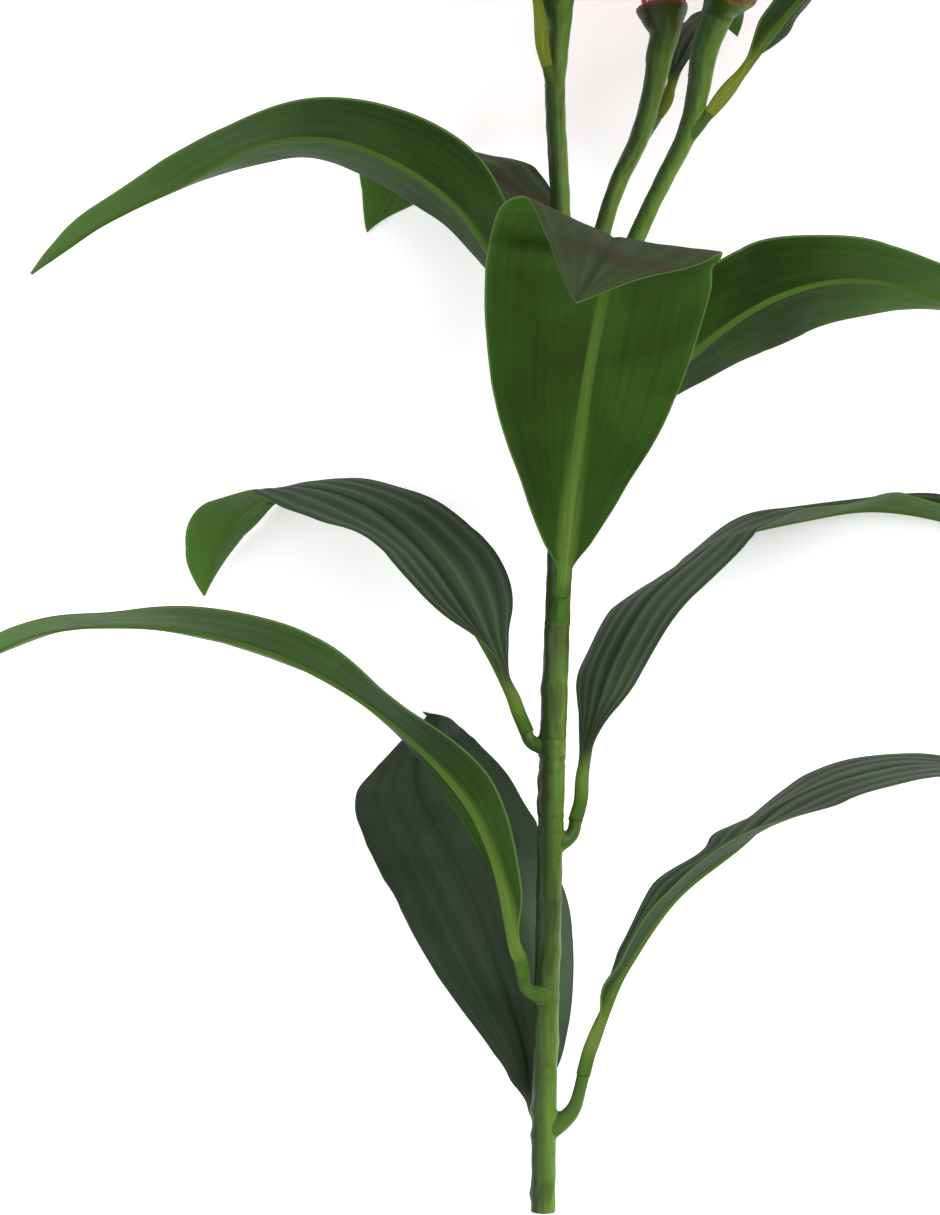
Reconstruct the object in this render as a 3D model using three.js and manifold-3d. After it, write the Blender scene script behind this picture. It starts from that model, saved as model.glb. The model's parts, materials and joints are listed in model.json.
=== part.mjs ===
// A cut lily lying on a table: a leafy stem with three flower stalks, which carry an open bloom,
// a half open bloom and a bud. Millimetres, +Z up.
// Everything is laid out in the stem's own frame: the origin is the middle of the cut end, +X is
// across the stem, +Y runs along it to the flowers, and +Z points away from the table.
// The last lines move the whole to the part's frame, whose origin is the bottom centre of its box.
import * as THREE from "three";
import { mergeVertices } from "three/addons/utils/BufferGeometryUtils.js";
import Module from "manifold-3d";

const wasm = await Module();
wasm.setup();

// Driving dimensions
const TABLE_BELOW_STEM = 55; // the stem's axis lies this far above the table
const FIT_GAP = 0.3; // clear space between pieces that meet
const LEAF_THICKNESS = 0.8;
const TEPAL_THICKNESS = 0.8;
const SOCKET_RADIUS = 1.55; // a leaf's round foot
const SOCKET_LEAD = 4; // it runs straight on from its twig this far
const BRACT_SWELL = 0.3; // a bract's round foot is this much thicker half way along
const TOUCHDOWN = 3; // a blade this near the table bends to lie on it
const LEAF_KEEL = 0.8; // a leaf's midrib stands out this far below, at its foot
const TEPAL_KEEL = 0.4;
const EDGE_HALF_WIDTH = 0.5; // a blade's half width at its very tip
const ROUND_SWEEP = 80; // degrees either way that a blade's points spread round its foot
const BRACT_WIDTH = 22; // a leaf under this width is a bract

// Numbers of points
const BLADE_COLUMNS = 7;
const LEAF_STATIONS = 18;
const BRACT_STATIONS = 12;
const TEPAL_STATIONS = 14;
const STEM_SIDES = 12;
const THREAD_SIDES = 6;

// Colours
const COLOURS = {
  stem: 0x4f7d2b,
  leaf: 0x33562a,
  tepal: 0xc23a72,
  stamen: 0xb9c46a,
  pistil: 0xa9bd5c,
  bud: 0xa8a45a,
};

// The paths of the stem and its three stalks: x, y, z and the radius there. Each stalk runs on
// straight into its flower's seat.
const STEM_PATH = [
  [0, 0, 0, 2.75],
  [0.3, 23, 0, 2.75],
  [1.3, 69, 0, 2.8],
  [2.2, 104, 0, 2.9],
  [3.5, 139, 0, 2.8],
  [4.9, 172, 0, 2.9],
  [5.2, 186, 0, 2.9],
];
const STALKS = {
  bud: [
    [5.2, 182, 0, 2.5],
    [4.8, 196, -1, 2.3],
    [3.9, 222, -2, 2.2],
    [2.7, 245, -2.6, 2.25],
    [3.2, 256, -2.6, 2.5],
  ],
  half: [
    [4.9, 178, 0, 2.4],
    [8.6, 197, -3, 2],
    [15, 222.5, -5.2, 1.95],
    [21.5, 237.5, -6.3, 2.15],
    [24.8, 249, -7, 2.45],
    [25.8, 255, -7.4, 2.95],
  ],
  open: [
    [4.7, 172, 0, 2.6],
    [11.5, 194, 2, 2.2],
    [23.5, 221, 3.6, 1.95],
    [31.2, 236.5, 4, 2.15],
    [34.1, 247.5, 4.3, 2.6],
    [35.2, 255, 4.6, 3.1],
  ],
};
// The stalk's straight end, where it widens into the seat: distance back from it and share of its radius
const CUP = [[6.5, 0.57], [3, 0.79], [0, 1]];

// Each leaf: the twig it sits on, as points from inside the stem, and then its spine to its tip.
// A spine's row is x, y, z, the blade's twist there and how far its halves fold up, both in degrees.
// A trim's row is a share along the blade, and how much wider its left and its right half are there.
const LEAVES = {
  leaf_low_right: {
    twig: [[1, 17.5, 0], [4.4, 20.4, 0.4], [7, 23.6, 0.8], [9, 31.5, 2.2]],
    spine: [
      [11, 38.5, 5, 42, 60],
      [13.5, 46, 10.5, 45, 40],
      [18, 56, 15, 24, 21],
      [28, 70.5, 16.5, 2, 21],
      [42, 81.5, 12.5, -15, 10],
      [54, 90.5, 1.5, -11, -9],
      [71, 96, -12, 0, -2],
      [87.5, 97.5, -25.5, 6, 2],
      [103.5, 93, -37, 12, 10],
      [112, 84, -48.5, 14, 15],
      [117, 74.5, -55.5, 13, 18],
    ],
    width: 38,
    foot: 12,
    trim: [
      [0, 1.2, 1.1],
      [0.12, 1, 0.95],
      [0.33, 0.75, 0.95],
      [0.58, 1.15, 1.1],
      [0.8, 0.85, 1],
      [1, 1, 1],
    ],
  },
  leaf_low_back: {
    twig: [[0.4, 17.6, -0.8], [-0.9, 19.8, -3], [-1.6, 22.2, -4.9]],
    spine: [
      [-4, 36, -8.5, -50, 24],
      [-10, 54, -11.5, -35, 13],
      [-15.5, 68.5, -15.5, -13, 1],
      [-22.5, 82, -22, -6, 2],
      [-27.5, 91.5, -30.5, -15, 4],
      [-27.5, 99, -39.5, -20, 3],
      [-24, 106.5, -52, -3, 6],
      [-27, 109, -58, 0, 9],
    ],
    width: 44.5,
    foot: 1,
    widest: 0.5,
    footPower: 0.8,
    tipPower: 1.15,
    trim: [
      [0, 0.8, 0.95],
      [0.3, 0.9, 1],
      [0.5, 1, 1.2],
      [0.7, 0.85, 1.15],
      [0.85, 0.9, 1.2],
      [1, 1, 1],
    ],
  },
  leaf_low_left: {
    twig: [[1.2, 47, 0.6], [-3.6, 49.6, 3.6], [-4.3, 52.8, 4.6]],
    spine: [
      [-6.5, 60.5, 13.5, 20, 36],
      [-11, 80, 16, 14, 8],
      [-18.5, 94, 17, 28, 11],
      [-33.5, 109, 16, 12, 7],
      [-52, 120.5, 15.5, 15, 9],
      [-71, 127, 14.5, 16, 7],
      [-90.5, 129.5, 8, 7, 4],
      [-109.5, 128, -1.5, 0, 4],
      [-123.5, 122.5, -13.5, -8, 3],
      [-138, 114, -28, -22, 8],
    ],
    width: 38,
    foot: 11,
    tipPower: 1,
    trim: [
      [0, 1, 1.05],
      [0.15, 1.1, 1],
      [0.35, 0.8, 0.85],
      [0.6, 1, 0.95],
      [0.8, 0.9, 1.05],
      [1, 1, 1],
    ],
  },
  leaf_mid_right: {
    twig: [[1.8, 80.4, 0], [6.2, 83, -0.6], [7.3, 87, -1]],
    spine: [
      [9, 98, -4, 3, 16],
      [12, 111.5, -6, 1, -5],
      [15.5, 121.5, -9, 0, -4],
      [23.5, 134.5, -15, -11, -2],
      [35, 144.5, -24.5, -16, -5],
      [43, 149.5, -29.5, -11, -3],
      [59.5, 153.5, -38.5, -1, 8],
      [77.5, 156, -48, -4, 11],
      [96, 153, -51.5, 11, 19],
      [108, 147, -53.5, 14, 19],
      [118.5, 138.5, -57.5, 14, 18],
    ],
    width: 41,
    foot: 10,
    trim: [[0, 1.05, 1], [0.35, 1.05, 1.05], [0.6, 1.1, 0.95], [0.8, 1.05, 1], [1, 1, 1]],
  },
  leaf_mid_left: {
    twig: [[1.8, 102.4, 0], [-2.6, 103.6, -0.3], [-3.8, 106.4, -0.5]],
    spine: [
      [-7.5, 115.5, -1, -20, 28],
      [-15, 129, -2, -8, 18],
      [-25, 144, -10.5, -7, 15],
      [-39, 156, -22.5, -8, -2],
      [-56, 160.5, -35.5, -7, 3],
      [-68, 155.5, -40.5, -3, 7],
      [-74, 147, -46.5, -15, 11],
      [-78, 136, -56, -30, 19],
    ],
    width: 42,
    foot: 8,
    trim: [
      [0, 0.95, 1.25],
      [0.15, 1.1, 1.1],
      [0.35, 0.9, 0.85],
      [0.6, 0.85, 0.95],
      [0.8, 1.05, 1.2],
      [1, 1.05, 0.95],
    ],
  },
  leaf_front: {
    twig: [[3.3, 129.5, 0.5], [3.6, 133.2, 3.1], [4, 136.6, 5]],
    spine: [
      [5.8, 156, 11, 0, 2],
      [7, 165, 14.5, 1, 4],
      [8.5, 177.5, 20.5, 1, 3],
      [10, 187.5, 25.5, -2, 1],
      [13, 203.5, 33.5, -10, 3],
      [14, 211, 37.5, -14, 1],
      [14, 209.5, 48.5, -18, 12],
      [11.5, 205.5, 64, -17, 1],
      [5.5, 195, 76.5, -10, 3],
    ],
    width: 50,
    foot: 3,
    widest: 0.58,
    footPower: 0.9,
    trim: [
      [0, 1.1, 1],
      [0.15, 1.05, 0.95],
      [0.35, 1.05, 1],
      [0.6, 0.9, 1.05],
      [0.8, 1.1, 0.9],
      [1, 0.95, 0.85],
    ],
  },
  leaf_top_right: {
    twig: [[4.6, 164, 0], [7.2, 166.6, -2.4], [9.6, 169.6, -3.8]],
    spine: [
      [20.5, 177, -11, -47, 22],
      [33, 189.5, -14.5, -39, 15],
      [48, 200.5, -16, -33, 6],
      [62.5, 206, -17, -25, 2],
      [76.5, 206.5, -21, -20, 1],
      [91, 203, -27, -13, 4],
      [101, 199, -37, -1, 12],
      [107, 190, -45, 9, 18],
    ],
    width: 46,
    foot: 4,
    tipPower: 1.15,
    trim: [[0, 1, 1], [0.35, 1, 0.95], [0.6, 1.1, 0.8], [0.8, 1, 0.95], [1, 1, 1]],
  },
  leaf_top_left: {
    twig: [[4.4, 168, 0], [1.4, 171.6, 0.6], [-0.2, 174.4, 1]],
    spine: [
      [-4, 193.5, 6.5, -15, 17],
      [-12.5, 212, 11.5, 0, 8],
      [-22, 223, 14, 14, 10],
      [-36, 231.5, 15.5, 16, 5],
      [-49, 235, 15, 15, 4],
      [-63, 233.5, 12.5, 5, 3],
      [-78.5, 226, 7.5, -2, 9],
      [-95, 218.5, 3, -2, 8],
      [-105, 212.5, -1.5, -10, 14],
      [-113.3, 207.2, -7, -26, 26],
    ],
    width: 42,
    foot: 4,
  },
  leaf_top_back: {
    twig: [[4.9, 174, -0.5], [3.4, 178.4, -3.2], [2.6, 181, -4.6]],
    spine: [
      [2, 197, -10, 9, 3],
      [0, 211.5, -18, 7, 3],
      [-6, 222.5, -22, 4, 4],
      [-16, 230, -30, -2, 8],
      [-23, 235.5, -38.5, -2, 7],
      [-30.5, 238.5, -45.5, 0, 6],
      [-34.5, 228.5, -50, 8, 1],
      [-40, 220.5, -57.5, -8, 13],
    ],
    width: 40,
    foot: 4,
    trim: [[0, 1, 1], [0.6, 1, 1.05], [1, 0.95, 1.05]],
  },
  bract_bud: {
    twig: [[2.8, 246.8, -2.9], [1.3, 250.4, 0], [0.7, 253, 0.9]],
    spine: [
      [-0.8, 263.5, 3.5, 10, 30],
      [-2.6, 271, 6.5, 10, 20],
      [-8, 283, 10, 10, 12],
      [-16, 294, 12, 8, 10],
      [-27, 301, 11, 5, 10],
      [-38, 302, 6, 0, 10],
    ],
    width: 17,
    foot: 13,
    radius: 1.2,
  },
  bract_half_bloom: {
    twig: [[21.2, 236.5, -6.4], [24.4, 240.2, -8.4], [26, 243.2, -9.4]],
    spine: [
      [28.7, 249.5, -12, 0, 25],
      [31, 255.5, -16.5, -10, 15],
      [34, 261.5, -24, -10, 12],
      [38.5, 267, -33, -5, 10],
      [43, 269.5, -43, 0, 8],
      [46, 266, -52, 0, 8],
    ],
    width: 14,
    foot: 6,
    radius: 1.2,
  },
  bract_open_bloom: {
    twig: [[31.2, 236, 4.1], [34.6, 239.1, 5.1], [36.8, 241.9, 5.5]],
    spine: [
      [43, 249.8, 5.5, -20, 30],
      [48, 256.5, 4.5, -38, 14],
      [55.6, 266, 2, -40, 8],
      [65, 275.4, -2, -30, 6],
      [77, 281, -8, -20, 6],
      [89, 281, -16, -10, 6],
    ],
    width: 20,
    foot: 10,
    radius: 1.25,
  },
};

const EVEN = [[0, 1, 1], [1, 1, 1]]; // the trim of a leaf with even halves
const LEAF_WAVES = { height: 0.9, count: 2.5, shift: 1.7 }; // along a leaf's edges

// Each bloom: where its seat is, the way it faces, its turn about that axis, and the spine of its
// inner tepals as distance from the axis and height above the seat. The filaments' and the style's
// ends are given the same way.
const BLOOMS = {
  open: {
    seat: [40.8, 268, 12],
    seatRadius: 6.5,
    axis: [0.4, 0.72, 0.57],
    spin: 24,
    profile: [[3.9, 0], [5.4, 10], [9, 21], [16, 34], [28, 45.5], [43, 53], [57.5, 53.5], [67, 46]],
    innerWidth: 37,
    outerWidth: 27,
    flare: 0.5,
    filamentEnd: [19, 56],
    styleEnd: [7, 66],
  },
  half: {
    seat: [26.6, 266.6, -9.2],
    seatRadius: 6,
    axis: [-0.08, 0.97, -0.22],
    spin: 40,
    profile: [[3.9, 0], [5.4, 12], [8.4, 26], [12, 41], [17, 56], [24.5, 69], [34.5, 77], [42.5, 77.5]],
    innerWidth: 34,
    outerWidth: 25,
    flare: 0.68,
    filamentEnd: [8.5, 50],
    styleEnd: [2, 60],
  },
};
const WHORL_GAP = { foot: 1.3, tip: 3.2 }; // from the inner tepals out to the outer ones
const SECTOR_SHARE = 0.86; // a tepal's widest share of a third of the bloom's girth
const TEPAL_OUTLINE = [0.6, 0.8, 0.62]; // where it is widest, and how full it is towards foot and tip
const TEPAL_FOOT = { inner: 1.6, outer: 2, end: 1 / 6 }; // extra half width at the foot, and its end
const TEPAL_ARCH = 60; // radius that a tepal's spread part arches to, across
const TEPAL_WAVES = { count: 3.5, shift: 1.3, start: 0.5, full: 0.8 };
const FILAMENT_RADIUS = 0.65;
const FILAMENT_ROUTE = [[0, 0.25], [0.35, 0.6], [0.72, 0.85], [1, 1]]; // shares of its way out and up
const ANTHER = { length: 11, radius: 1.5, tilt: 62 };
const SEAT_DISC = { radius: 2.9, height: 1.6 }; // the disc that carries the filaments
const OVARY = { radius: 1.35, length: 17 };
const STYLE_RADIUS = 0.8;
const STYLE_ROUTE = [[0.05, 0.5], [0.4, 0.78], [1, 1]]; // shares of its way out and up
const STYLE_AZIMUTH = 200; // the side it leans to
const STIGMA = { radius: 2.3, height: 2.4, lobes: 3 };
const BUD = {
  seat: [2.8, 268.4, -2],
  seatRadius: 4.6,
  axis: [-0.14, 0.985, 0.1],
  length: 76,
  radius: 10.5,
  widest: 0.62,
  foot: 0.36,
  bend: 5,
};

const vector = ([x, y, z]) => new THREE.Vector3(x, y, z);
const radians = THREE.MathUtils.degToRad;
const mix = THREE.MathUtils.lerp;
const smoothstep = THREE.MathUtils.smoothstep;

// A height, lifted smoothly so that it never goes below the floor height given
function restOn(floor, z) {
  const above = z - floor;
  if (above >= TOUCHDOWN) return z;
  if (above <= -TOUCHDOWN) return floor;
  return floor + (above + TOUCHDOWN) ** 2 / (4 * TOUCHDOWN);
}

// A closed body through a row of sections. Each section is a loop of points: an upper row from left
// to right, then a lower row from right to left. Both faces split into triangles alike.
function loftedGeometry(sections) {
  const loop = sections[0].length;
  const index = [];
  const quad = (a, b, c, d) => index.push(a, b, c, a, c, d);
  for (let s = 0; s < sections.length - 1; s++) {
    for (let k = 0; k < loop; k++) {
      const next = (k + 1) % loop;
      const corners = [s * loop + k, s * loop + next, (s + 1) * loop + next, (s + 1) * loop + k];
      if (k >= loop / 2) corners.push(corners.shift());
      quad(...corners);
    }
  }
  const last = (sections.length - 1) * loop;
  for (let k = 0; k < loop / 2 - 1; k++) {
    quad(k, loop - 1 - k, loop - 2 - k, k + 1);
    quad(last + k, last + k + 1, last + loop - 2 - k, last + loop - 1 - k);
  }
  const positions = sections.flat().flatMap((p) => [p.x, p.y, p.z]);
  const geometry = new THREE.BufferGeometry();
  geometry.setAttribute("position", new THREE.Float32BufferAttribute(positions, 3));
  geometry.setIndex(index);
  geometry.computeVertexNormals();
  return geometry;
}

// A round body along a curve, with its radius given by a function of the share of its length
function tubeGeometry(curve, radiusAt, sides, stations) {
  const frames = curve.computeFrenetFrames(stations, false);
  const sections = [];
  for (let s = 0; s <= stations; s++) {
    const centre = curve.getPointAt(s / stations);
    const radius = radiusAt(s / stations);
    sections.push(
      Array.from({ length: sides }, (_, k) => {
        const angle = Math.PI - ((k + 0.5) * 2 * Math.PI) / sides;
        return centre
          .clone()
          .addScaledVector(frames.binormals[s], radius * Math.cos(angle))
          .addScaledVector(frames.normals[s], radius * Math.sin(angle));
      }),
    );
  }
  return loftedGeometry(sections);
}

// The curve through some points, and a number given at each of them, by share of the curve's length
function curveThrough(rows) {
  return new THREE.CatmullRomCurve3(rows.map(vector), false, "catmullrom", 0.5);
}
function valueAlong(curve, values, share) {
  const track = new THREE.SplineCurve(values.map((value, i) => new THREE.Vector2(i, value)));
  return track.getPoint(curve.getUtoTmapping(share)).y;
}

// A blade's outline: 0 at its foot and tip and 1 where it is widest
function outlineAt(share, widest, footPower, tipPower) {
  const quarter = Math.PI / 2;
  if (share < widest) return Math.sin((quarter * share) / widest) ** footPower;
  return Math.max(Math.cos((quarter * (share - widest)) / (1 - widest)), 0) ** tipPower;
}

// A thin blade along a spine, round at its foot and flat further on.
// shape.rise gives how far a point stands above the spine's plane and how far out it lies.
function bladeGeometry(shape) {
  const { spine, up, stations, thickness, foot, radius, keel, swell = 0 } = shape;
  const curve = curveThrough(spine);
  const length = curve.getLength();
  const columns = Array.from({ length: BLADE_COLUMNS }, (_, k) => (2 * k) / (BLADE_COLUMNS - 1) - 1);
  const floor = thickness / 2 - TABLE_BELOW_STEM;
  const rows = [];
  for (let s = 0; s <= stations; s++) {
    const share = s / stations;
    const centre = curve.getPointAt(share);
    const tangent = curve.getTangentAt(share);
    const straight = up.clone().addScaledVector(tangent, -up.dot(tangent)).normalize();
    const twist = radians(valueAlong(curve, spine.map((row) => row[3]), share));
    const normal = straight.applyAxisAngle(tangent, twist);
    const across = new THREE.Vector3().crossVectors(tangent, normal);
    const blade = Math.max(share * length - foot, 0) / (length - foot);
    const half = Math.max(shape.halfWidth(blade), s < stations ? radius / 2 : EDGE_HALF_WIDTH);
    const fold = radians(valueAlong(curve, spine.map((row) => row[4] ?? 0), share));
    const middle = columns.map((v) => {
      const [out, lift] = shape.rise(blade, v, half, fold);
      const point = centre.clone().addScaledVector(across, out).addScaledVector(normal, lift);
      point.z = restOn(floor, point.z);
      return point;
    });
    const flat = smoothstep(share * length, foot * 0.6, foot * 1.6 + 6);
    const girth = radius * (1 + swell * Math.sin(Math.PI * Math.min((share * length) / foot, 1)));
    rows.push({ share, centre, normal, across, middle, flat, girth });
  }
  const sections = rows.map((row, s) => {
    const before = rows[Math.max(s - 1, 0)].middle;
    const after = rows[Math.min(s + 1, stations)].middle;
    const face = (side) =>
      columns.map((v, k) => {
        const along = after[k].clone().sub(before[k]);
        const last = BLADE_COLUMNS - 1;
        const over = row.middle[Math.min(k + 1, last)].clone().sub(row.middle[Math.max(k - 1, 0)]);
        const outward = over.cross(along).normalize();
        const rib = side < 0 && v === 0 ? keel * (1 - row.share) : 0;
        const flat = row.middle[k].clone().addScaledVector(outward, side * (thickness / 2 + rib));
        const angle = radians(ROUND_SWEEP * v);
        const round = row.centre
          .clone()
          .addScaledVector(row.across, row.girth * Math.sin(angle))
          .addScaledVector(row.normal, side * row.girth * Math.cos(angle));
        const point = round.lerp(flat, row.flat);
        point.z = Math.max(point.z, -TABLE_BELOW_STEM);
        return point;
      });
    return [...face(1), ...face(-1).reverse()];
  });
  return loftedGeometry(sections);
}

// How much wider a blade's half is at a share of its length
function trimAt(trim, share, side) {
  const next = Math.max(trim.findIndex((row) => row[0] >= share), 1);
  const [before, after] = [trim[next - 1], trim[next]];
  const part = (share - before[0]) / (after[0] - before[0]);
  return mix(before[side], after[side], part);
}

// A leaf starts a fit gap beyond its twig. It is folded along its midrib and waves a little
// along its edges.
function leafGeometry(leaf) {
  const half = leaf.width / 2;
  const { widest = 0.46, footPower = 1, tipPower = 0.85, trim = EVEN } = leaf;
  const { height, count, shift } = LEAF_WAVES;
  const [before, end] = leaf.twig.slice(-2).map(vector);
  const way = end.clone().sub(before).normalize();
  const start = (far) => end.clone().addScaledVector(way, FIT_GAP + far).toArray();
  const [, , , twist, fold] = leaf.spine[0];
  return bladeGeometry({
    spine: [...[0, SOCKET_LEAD].map((far) => [...start(far), twist, fold]), ...leaf.spine],
    up: new THREE.Vector3(0, 1, 0),
    stations: leaf.width < BRACT_WIDTH ? BRACT_STATIONS : LEAF_STATIONS,
    swell: leaf.width < BRACT_WIDTH ? BRACT_SWELL : 0,
    thickness: LEAF_THICKNESS,
    foot: leaf.foot,
    radius: leaf.radius ?? SOCKET_RADIUS,
    keel: LEAF_KEEL,
    halfWidth: (blade) => half * outlineAt(blade, widest, footPower, tipPower),
    rise: (blade, v, w, angle) => {
      const wide = w * trimAt(trim, blade, v < 0 ? 1 : 2);
      const phase = 2 * Math.PI * count * blade + (v > 0 ? 0 : shift);
      const ripple = height * v * v * Math.sin(phase) * Math.min(wide / half, 1);
      return [v * wide * Math.cos(angle), Math.abs(v) * wide * Math.sin(angle) + ripple];
    },
  });
}

// A joined solid of several closed geometries
function solidOf(geometry) {
  const bare = geometry.index ? geometry.clone() : mergeVertices(geometry);
  const merged = mergeVertices(bare.deleteAttribute("normal"));
  const { position } = merged.attributes;
  return new wasm.Manifold(
    new wasm.Mesh({
      numProp: 3,
      vertProperties: new Float32Array(position.array),
      triVerts: new Uint32Array(merged.index.array),
    }),
  );
}
function joinedGeometry(geometries) {
  const whole = geometries.map(solidOf).reduce((a, b) => a.add(b));
  const mesh = whole.getMesh();
  const geometry = new THREE.BufferGeometry();
  geometry.setAttribute("position", new THREE.Float32BufferAttribute(mesh.vertProperties, 3));
  geometry.setIndex(new THREE.Uint32BufferAttribute(mesh.triVerts, 1));
  return geometry;
}

// The stem, its stalks and the twigs that the leaves sit on
function stemGeometry() {
  const rod = (rows, steps) => {
    const curve = curveThrough(rows);
    return tubeGeometry(curve, (u) => valueAlong(curve, rows.map((row) => row[3]), u), STEM_SIDES, steps);
  };
  const stalks = Object.entries({ ...BLOOMS, bud: BUD }).map(([kind, { seat, axis, seatRadius }]) => {
    const way = vector(axis).normalize();
    const cup = CUP.map(([back, share]) => [
      ...vector(seat).addScaledVector(way, -back),
      seatRadius * share,
    ]);
    return rod([...STALKS[kind], ...cup], 14);
  });
  const twigs = Object.values(LEAVES).map(({ twig, radius = SOCKET_RADIUS }) =>
    tubeGeometry(curveThrough(twig), () => radius * 1.02, 8, 4),
  );
  return joinedGeometry([rod(STEM_PATH, 12), ...stalks, ...twigs]);
}

// A bloom's own frame, +Y along its axis, in the stem's frame
function frameOf({ seat, axis, spin = 0 }) {
  const upright = new THREE.Vector3(0, 1, 0);
  const turn = new THREE.Quaternion().setFromUnitVectors(upright, vector(axis).normalize());
  const twirl = new THREE.Quaternion().setFromAxisAngle(upright, radians(spin));
  return new THREE.Matrix4().compose(vector(seat), turn.multiply(twirl), new THREE.Vector3(1, 1, 1));
}

// One tepal, at an azimuth round its bloom. Low down it curves round the bloom's axis and keeps to
// its own third of the girth, and further out it bends back and waves along its edges.
function tepalGeometry(bloom, frame, azimuth, outer) {
  const place = frame.clone().multiply(new THREE.Matrix4().makeRotationY(radians(azimuth)));
  const last = bloom.profile.length - 1;
  const profile = bloom.profile.map(([out, height], i) => {
    const share = i / last;
    const gap = outer ? mix(WHORL_GAP.foot, WHORL_GAP.tip, share) : 0;
    return [out + gap * (1 - 0.6 * share), height - gap * share + FIT_GAP, 0];
  });
  const side = curveThrough(profile);
  const half = (outer ? bloom.outerWidth : bloom.innerWidth) / 2;
  const footHalf = outer ? TEPAL_FOOT.outer : TEPAL_FOOT.inner;
  const { count, shift, start, full } = TEPAL_WAVES;
  return bladeGeometry({
    spine: profile.map((point) => [...vector(point).applyMatrix4(place), 0, 0]),
    up: new THREE.Vector3(0, 1, 0).transformDirection(frame),
    stations: TEPAL_STATIONS,
    thickness: TEPAL_THICKNESS,
    foot: 0.01,
    radius: 0.4,
    keel: TEPAL_KEEL,
    halfWidth: (blade) => {
      const grown = half * outlineAt(blade, ...TEPAL_OUTLINE);
      const room = (SECTOR_SHARE * Math.PI * side.getPointAt(blade).x) / 3;
      const kept = grown / (1 + (grown / room) ** 4) ** 0.25;
      return kept + footHalf * Math.max(1 - blade / TEPAL_FOOT.end, 0);
    },
    rise: (blade, v, w) => {
      const round = side.getTangentAt(blade).y / side.getPointAt(blade).x;
      const bend = mix(round, -1 / TEPAL_ARCH, smoothstep(blade, bloom.flare, 1));
      const arc = v * w * bend;
      const phase = 2 * Math.PI * count * blade + (v > 0 ? 0 : shift);
      const ripple = v * v * Math.sin(phase) * smoothstep(blade, start, full);
      if (Math.abs(bend) < 1e-4) return [v * w, ripple];
      return [Math.sin(arc) / bend, (1 - Math.cos(arc)) / bend + ripple];
    },
  });
}

// A point of a bloom given by its azimuth, its distance from the axis and its height above the seat
function pointOf(frame, azimuth, out, height) {
  const angle = radians(azimuth);
  return new THREE.Vector3(out * Math.cos(angle), height, -out * Math.sin(angle)).applyMatrix4(frame);
}

// A spindle between two points, pointed at both ends
function spindleGeometry(from, to, radius) {
  const curve = new THREE.LineCurve3(from, to);
  return tubeGeometry(curve, (u) => radius * Math.max(Math.sin(Math.PI * u) ** 0.6, 0.25), THREAD_SIDES, 3);
}

// The six filaments with their anthers across their ends, on the disc that they grow from
function stamensGeometry(bloom, frame) {
  const [endOut, endHeight] = bloom.filamentEnd;
  const low = pointOf(frame, 0, 0, FIT_GAP);
  const high = pointOf(frame, 0, 0, FIT_GAP + SEAT_DISC.height);
  const parts = [tubeGeometry(new THREE.LineCurve3(low, high), () => SEAT_DISC.radius, 12, 1)];
  for (let k = 0; k < 6; k++) {
    const azimuth = k * 60;
    const foot = SEAT_DISC.radius - FILAMENT_RADIUS;
    const route = [
      pointOf(frame, azimuth, foot, SEAT_DISC.height / 2),
      ...FILAMENT_ROUTE.map(([out, up]) => pointOf(frame, azimuth, mix(foot, endOut, out), endHeight * up)),
    ];
    const filament = new THREE.CatmullRomCurve3(route, false, "catmullrom", 0.5);
    parts.push(tubeGeometry(filament, () => FILAMENT_RADIUS, THREAD_SIDES, 5));
    const reach = (ANTHER.length / 2) * Math.cos(radians(ANTHER.tilt));
    const rise = (ANTHER.length / 2) * Math.sin(radians(ANTHER.tilt));
    const inner = pointOf(frame, azimuth, endOut - reach, endHeight + rise + 0.6);
    const outer = pointOf(frame, azimuth, endOut + reach, endHeight - rise + 0.6);
    parts.push(spindleGeometry(inner, outer, ANTHER.radius));
  }
  return joinedGeometry(parts);
}

// The ovary, the style and its three-lobed stigma, standing on the stamens' disc
function pistilGeometry(bloom, frame) {
  const [endOut, endHeight] = bloom.styleEnd;
  const start = SEAT_DISC.height + 2 * FIT_GAP;
  const along = (out, height) => pointOf(frame, STYLE_AZIMUTH, out, height);
  const ovary = new THREE.LineCurve3(along(0, start), along(0, start + OVARY.length));
  const swell = (u) => OVARY.radius * (1 - 0.3 * u ** 6);
  const style = new THREE.CatmullRomCurve3([
    along(0, start + OVARY.length - 1),
    ...STYLE_ROUTE.map(([out, up]) => along(endOut * out, endHeight * up)),
  ]);
  const parts = [
    tubeGeometry(ovary, swell, 8, 3),
    tubeGeometry(style, () => STYLE_RADIUS, THREAD_SIDES, 6),
  ];
  const tip = style.getPoint(1);
  const way = style.getTangent(1);
  const side = new THREE.Vector3(0, 0, 1).cross(way).normalize();
  for (let k = 0; k < STIGMA.lobes; k++) {
    const out = side.clone().applyAxisAngle(way, (k * 2 * Math.PI) / STIGMA.lobes);
    const outer = tip.clone().addScaledVector(out, STIGMA.radius).addScaledVector(way, STIGMA.height * 0.4);
    const inner = tip.clone().addScaledVector(out, -0.3).addScaledVector(way, 0.3);
    parts.push(spindleGeometry(inner, outer, STIGMA.height / 2));
  }
  return joinedGeometry(parts);
}

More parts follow.
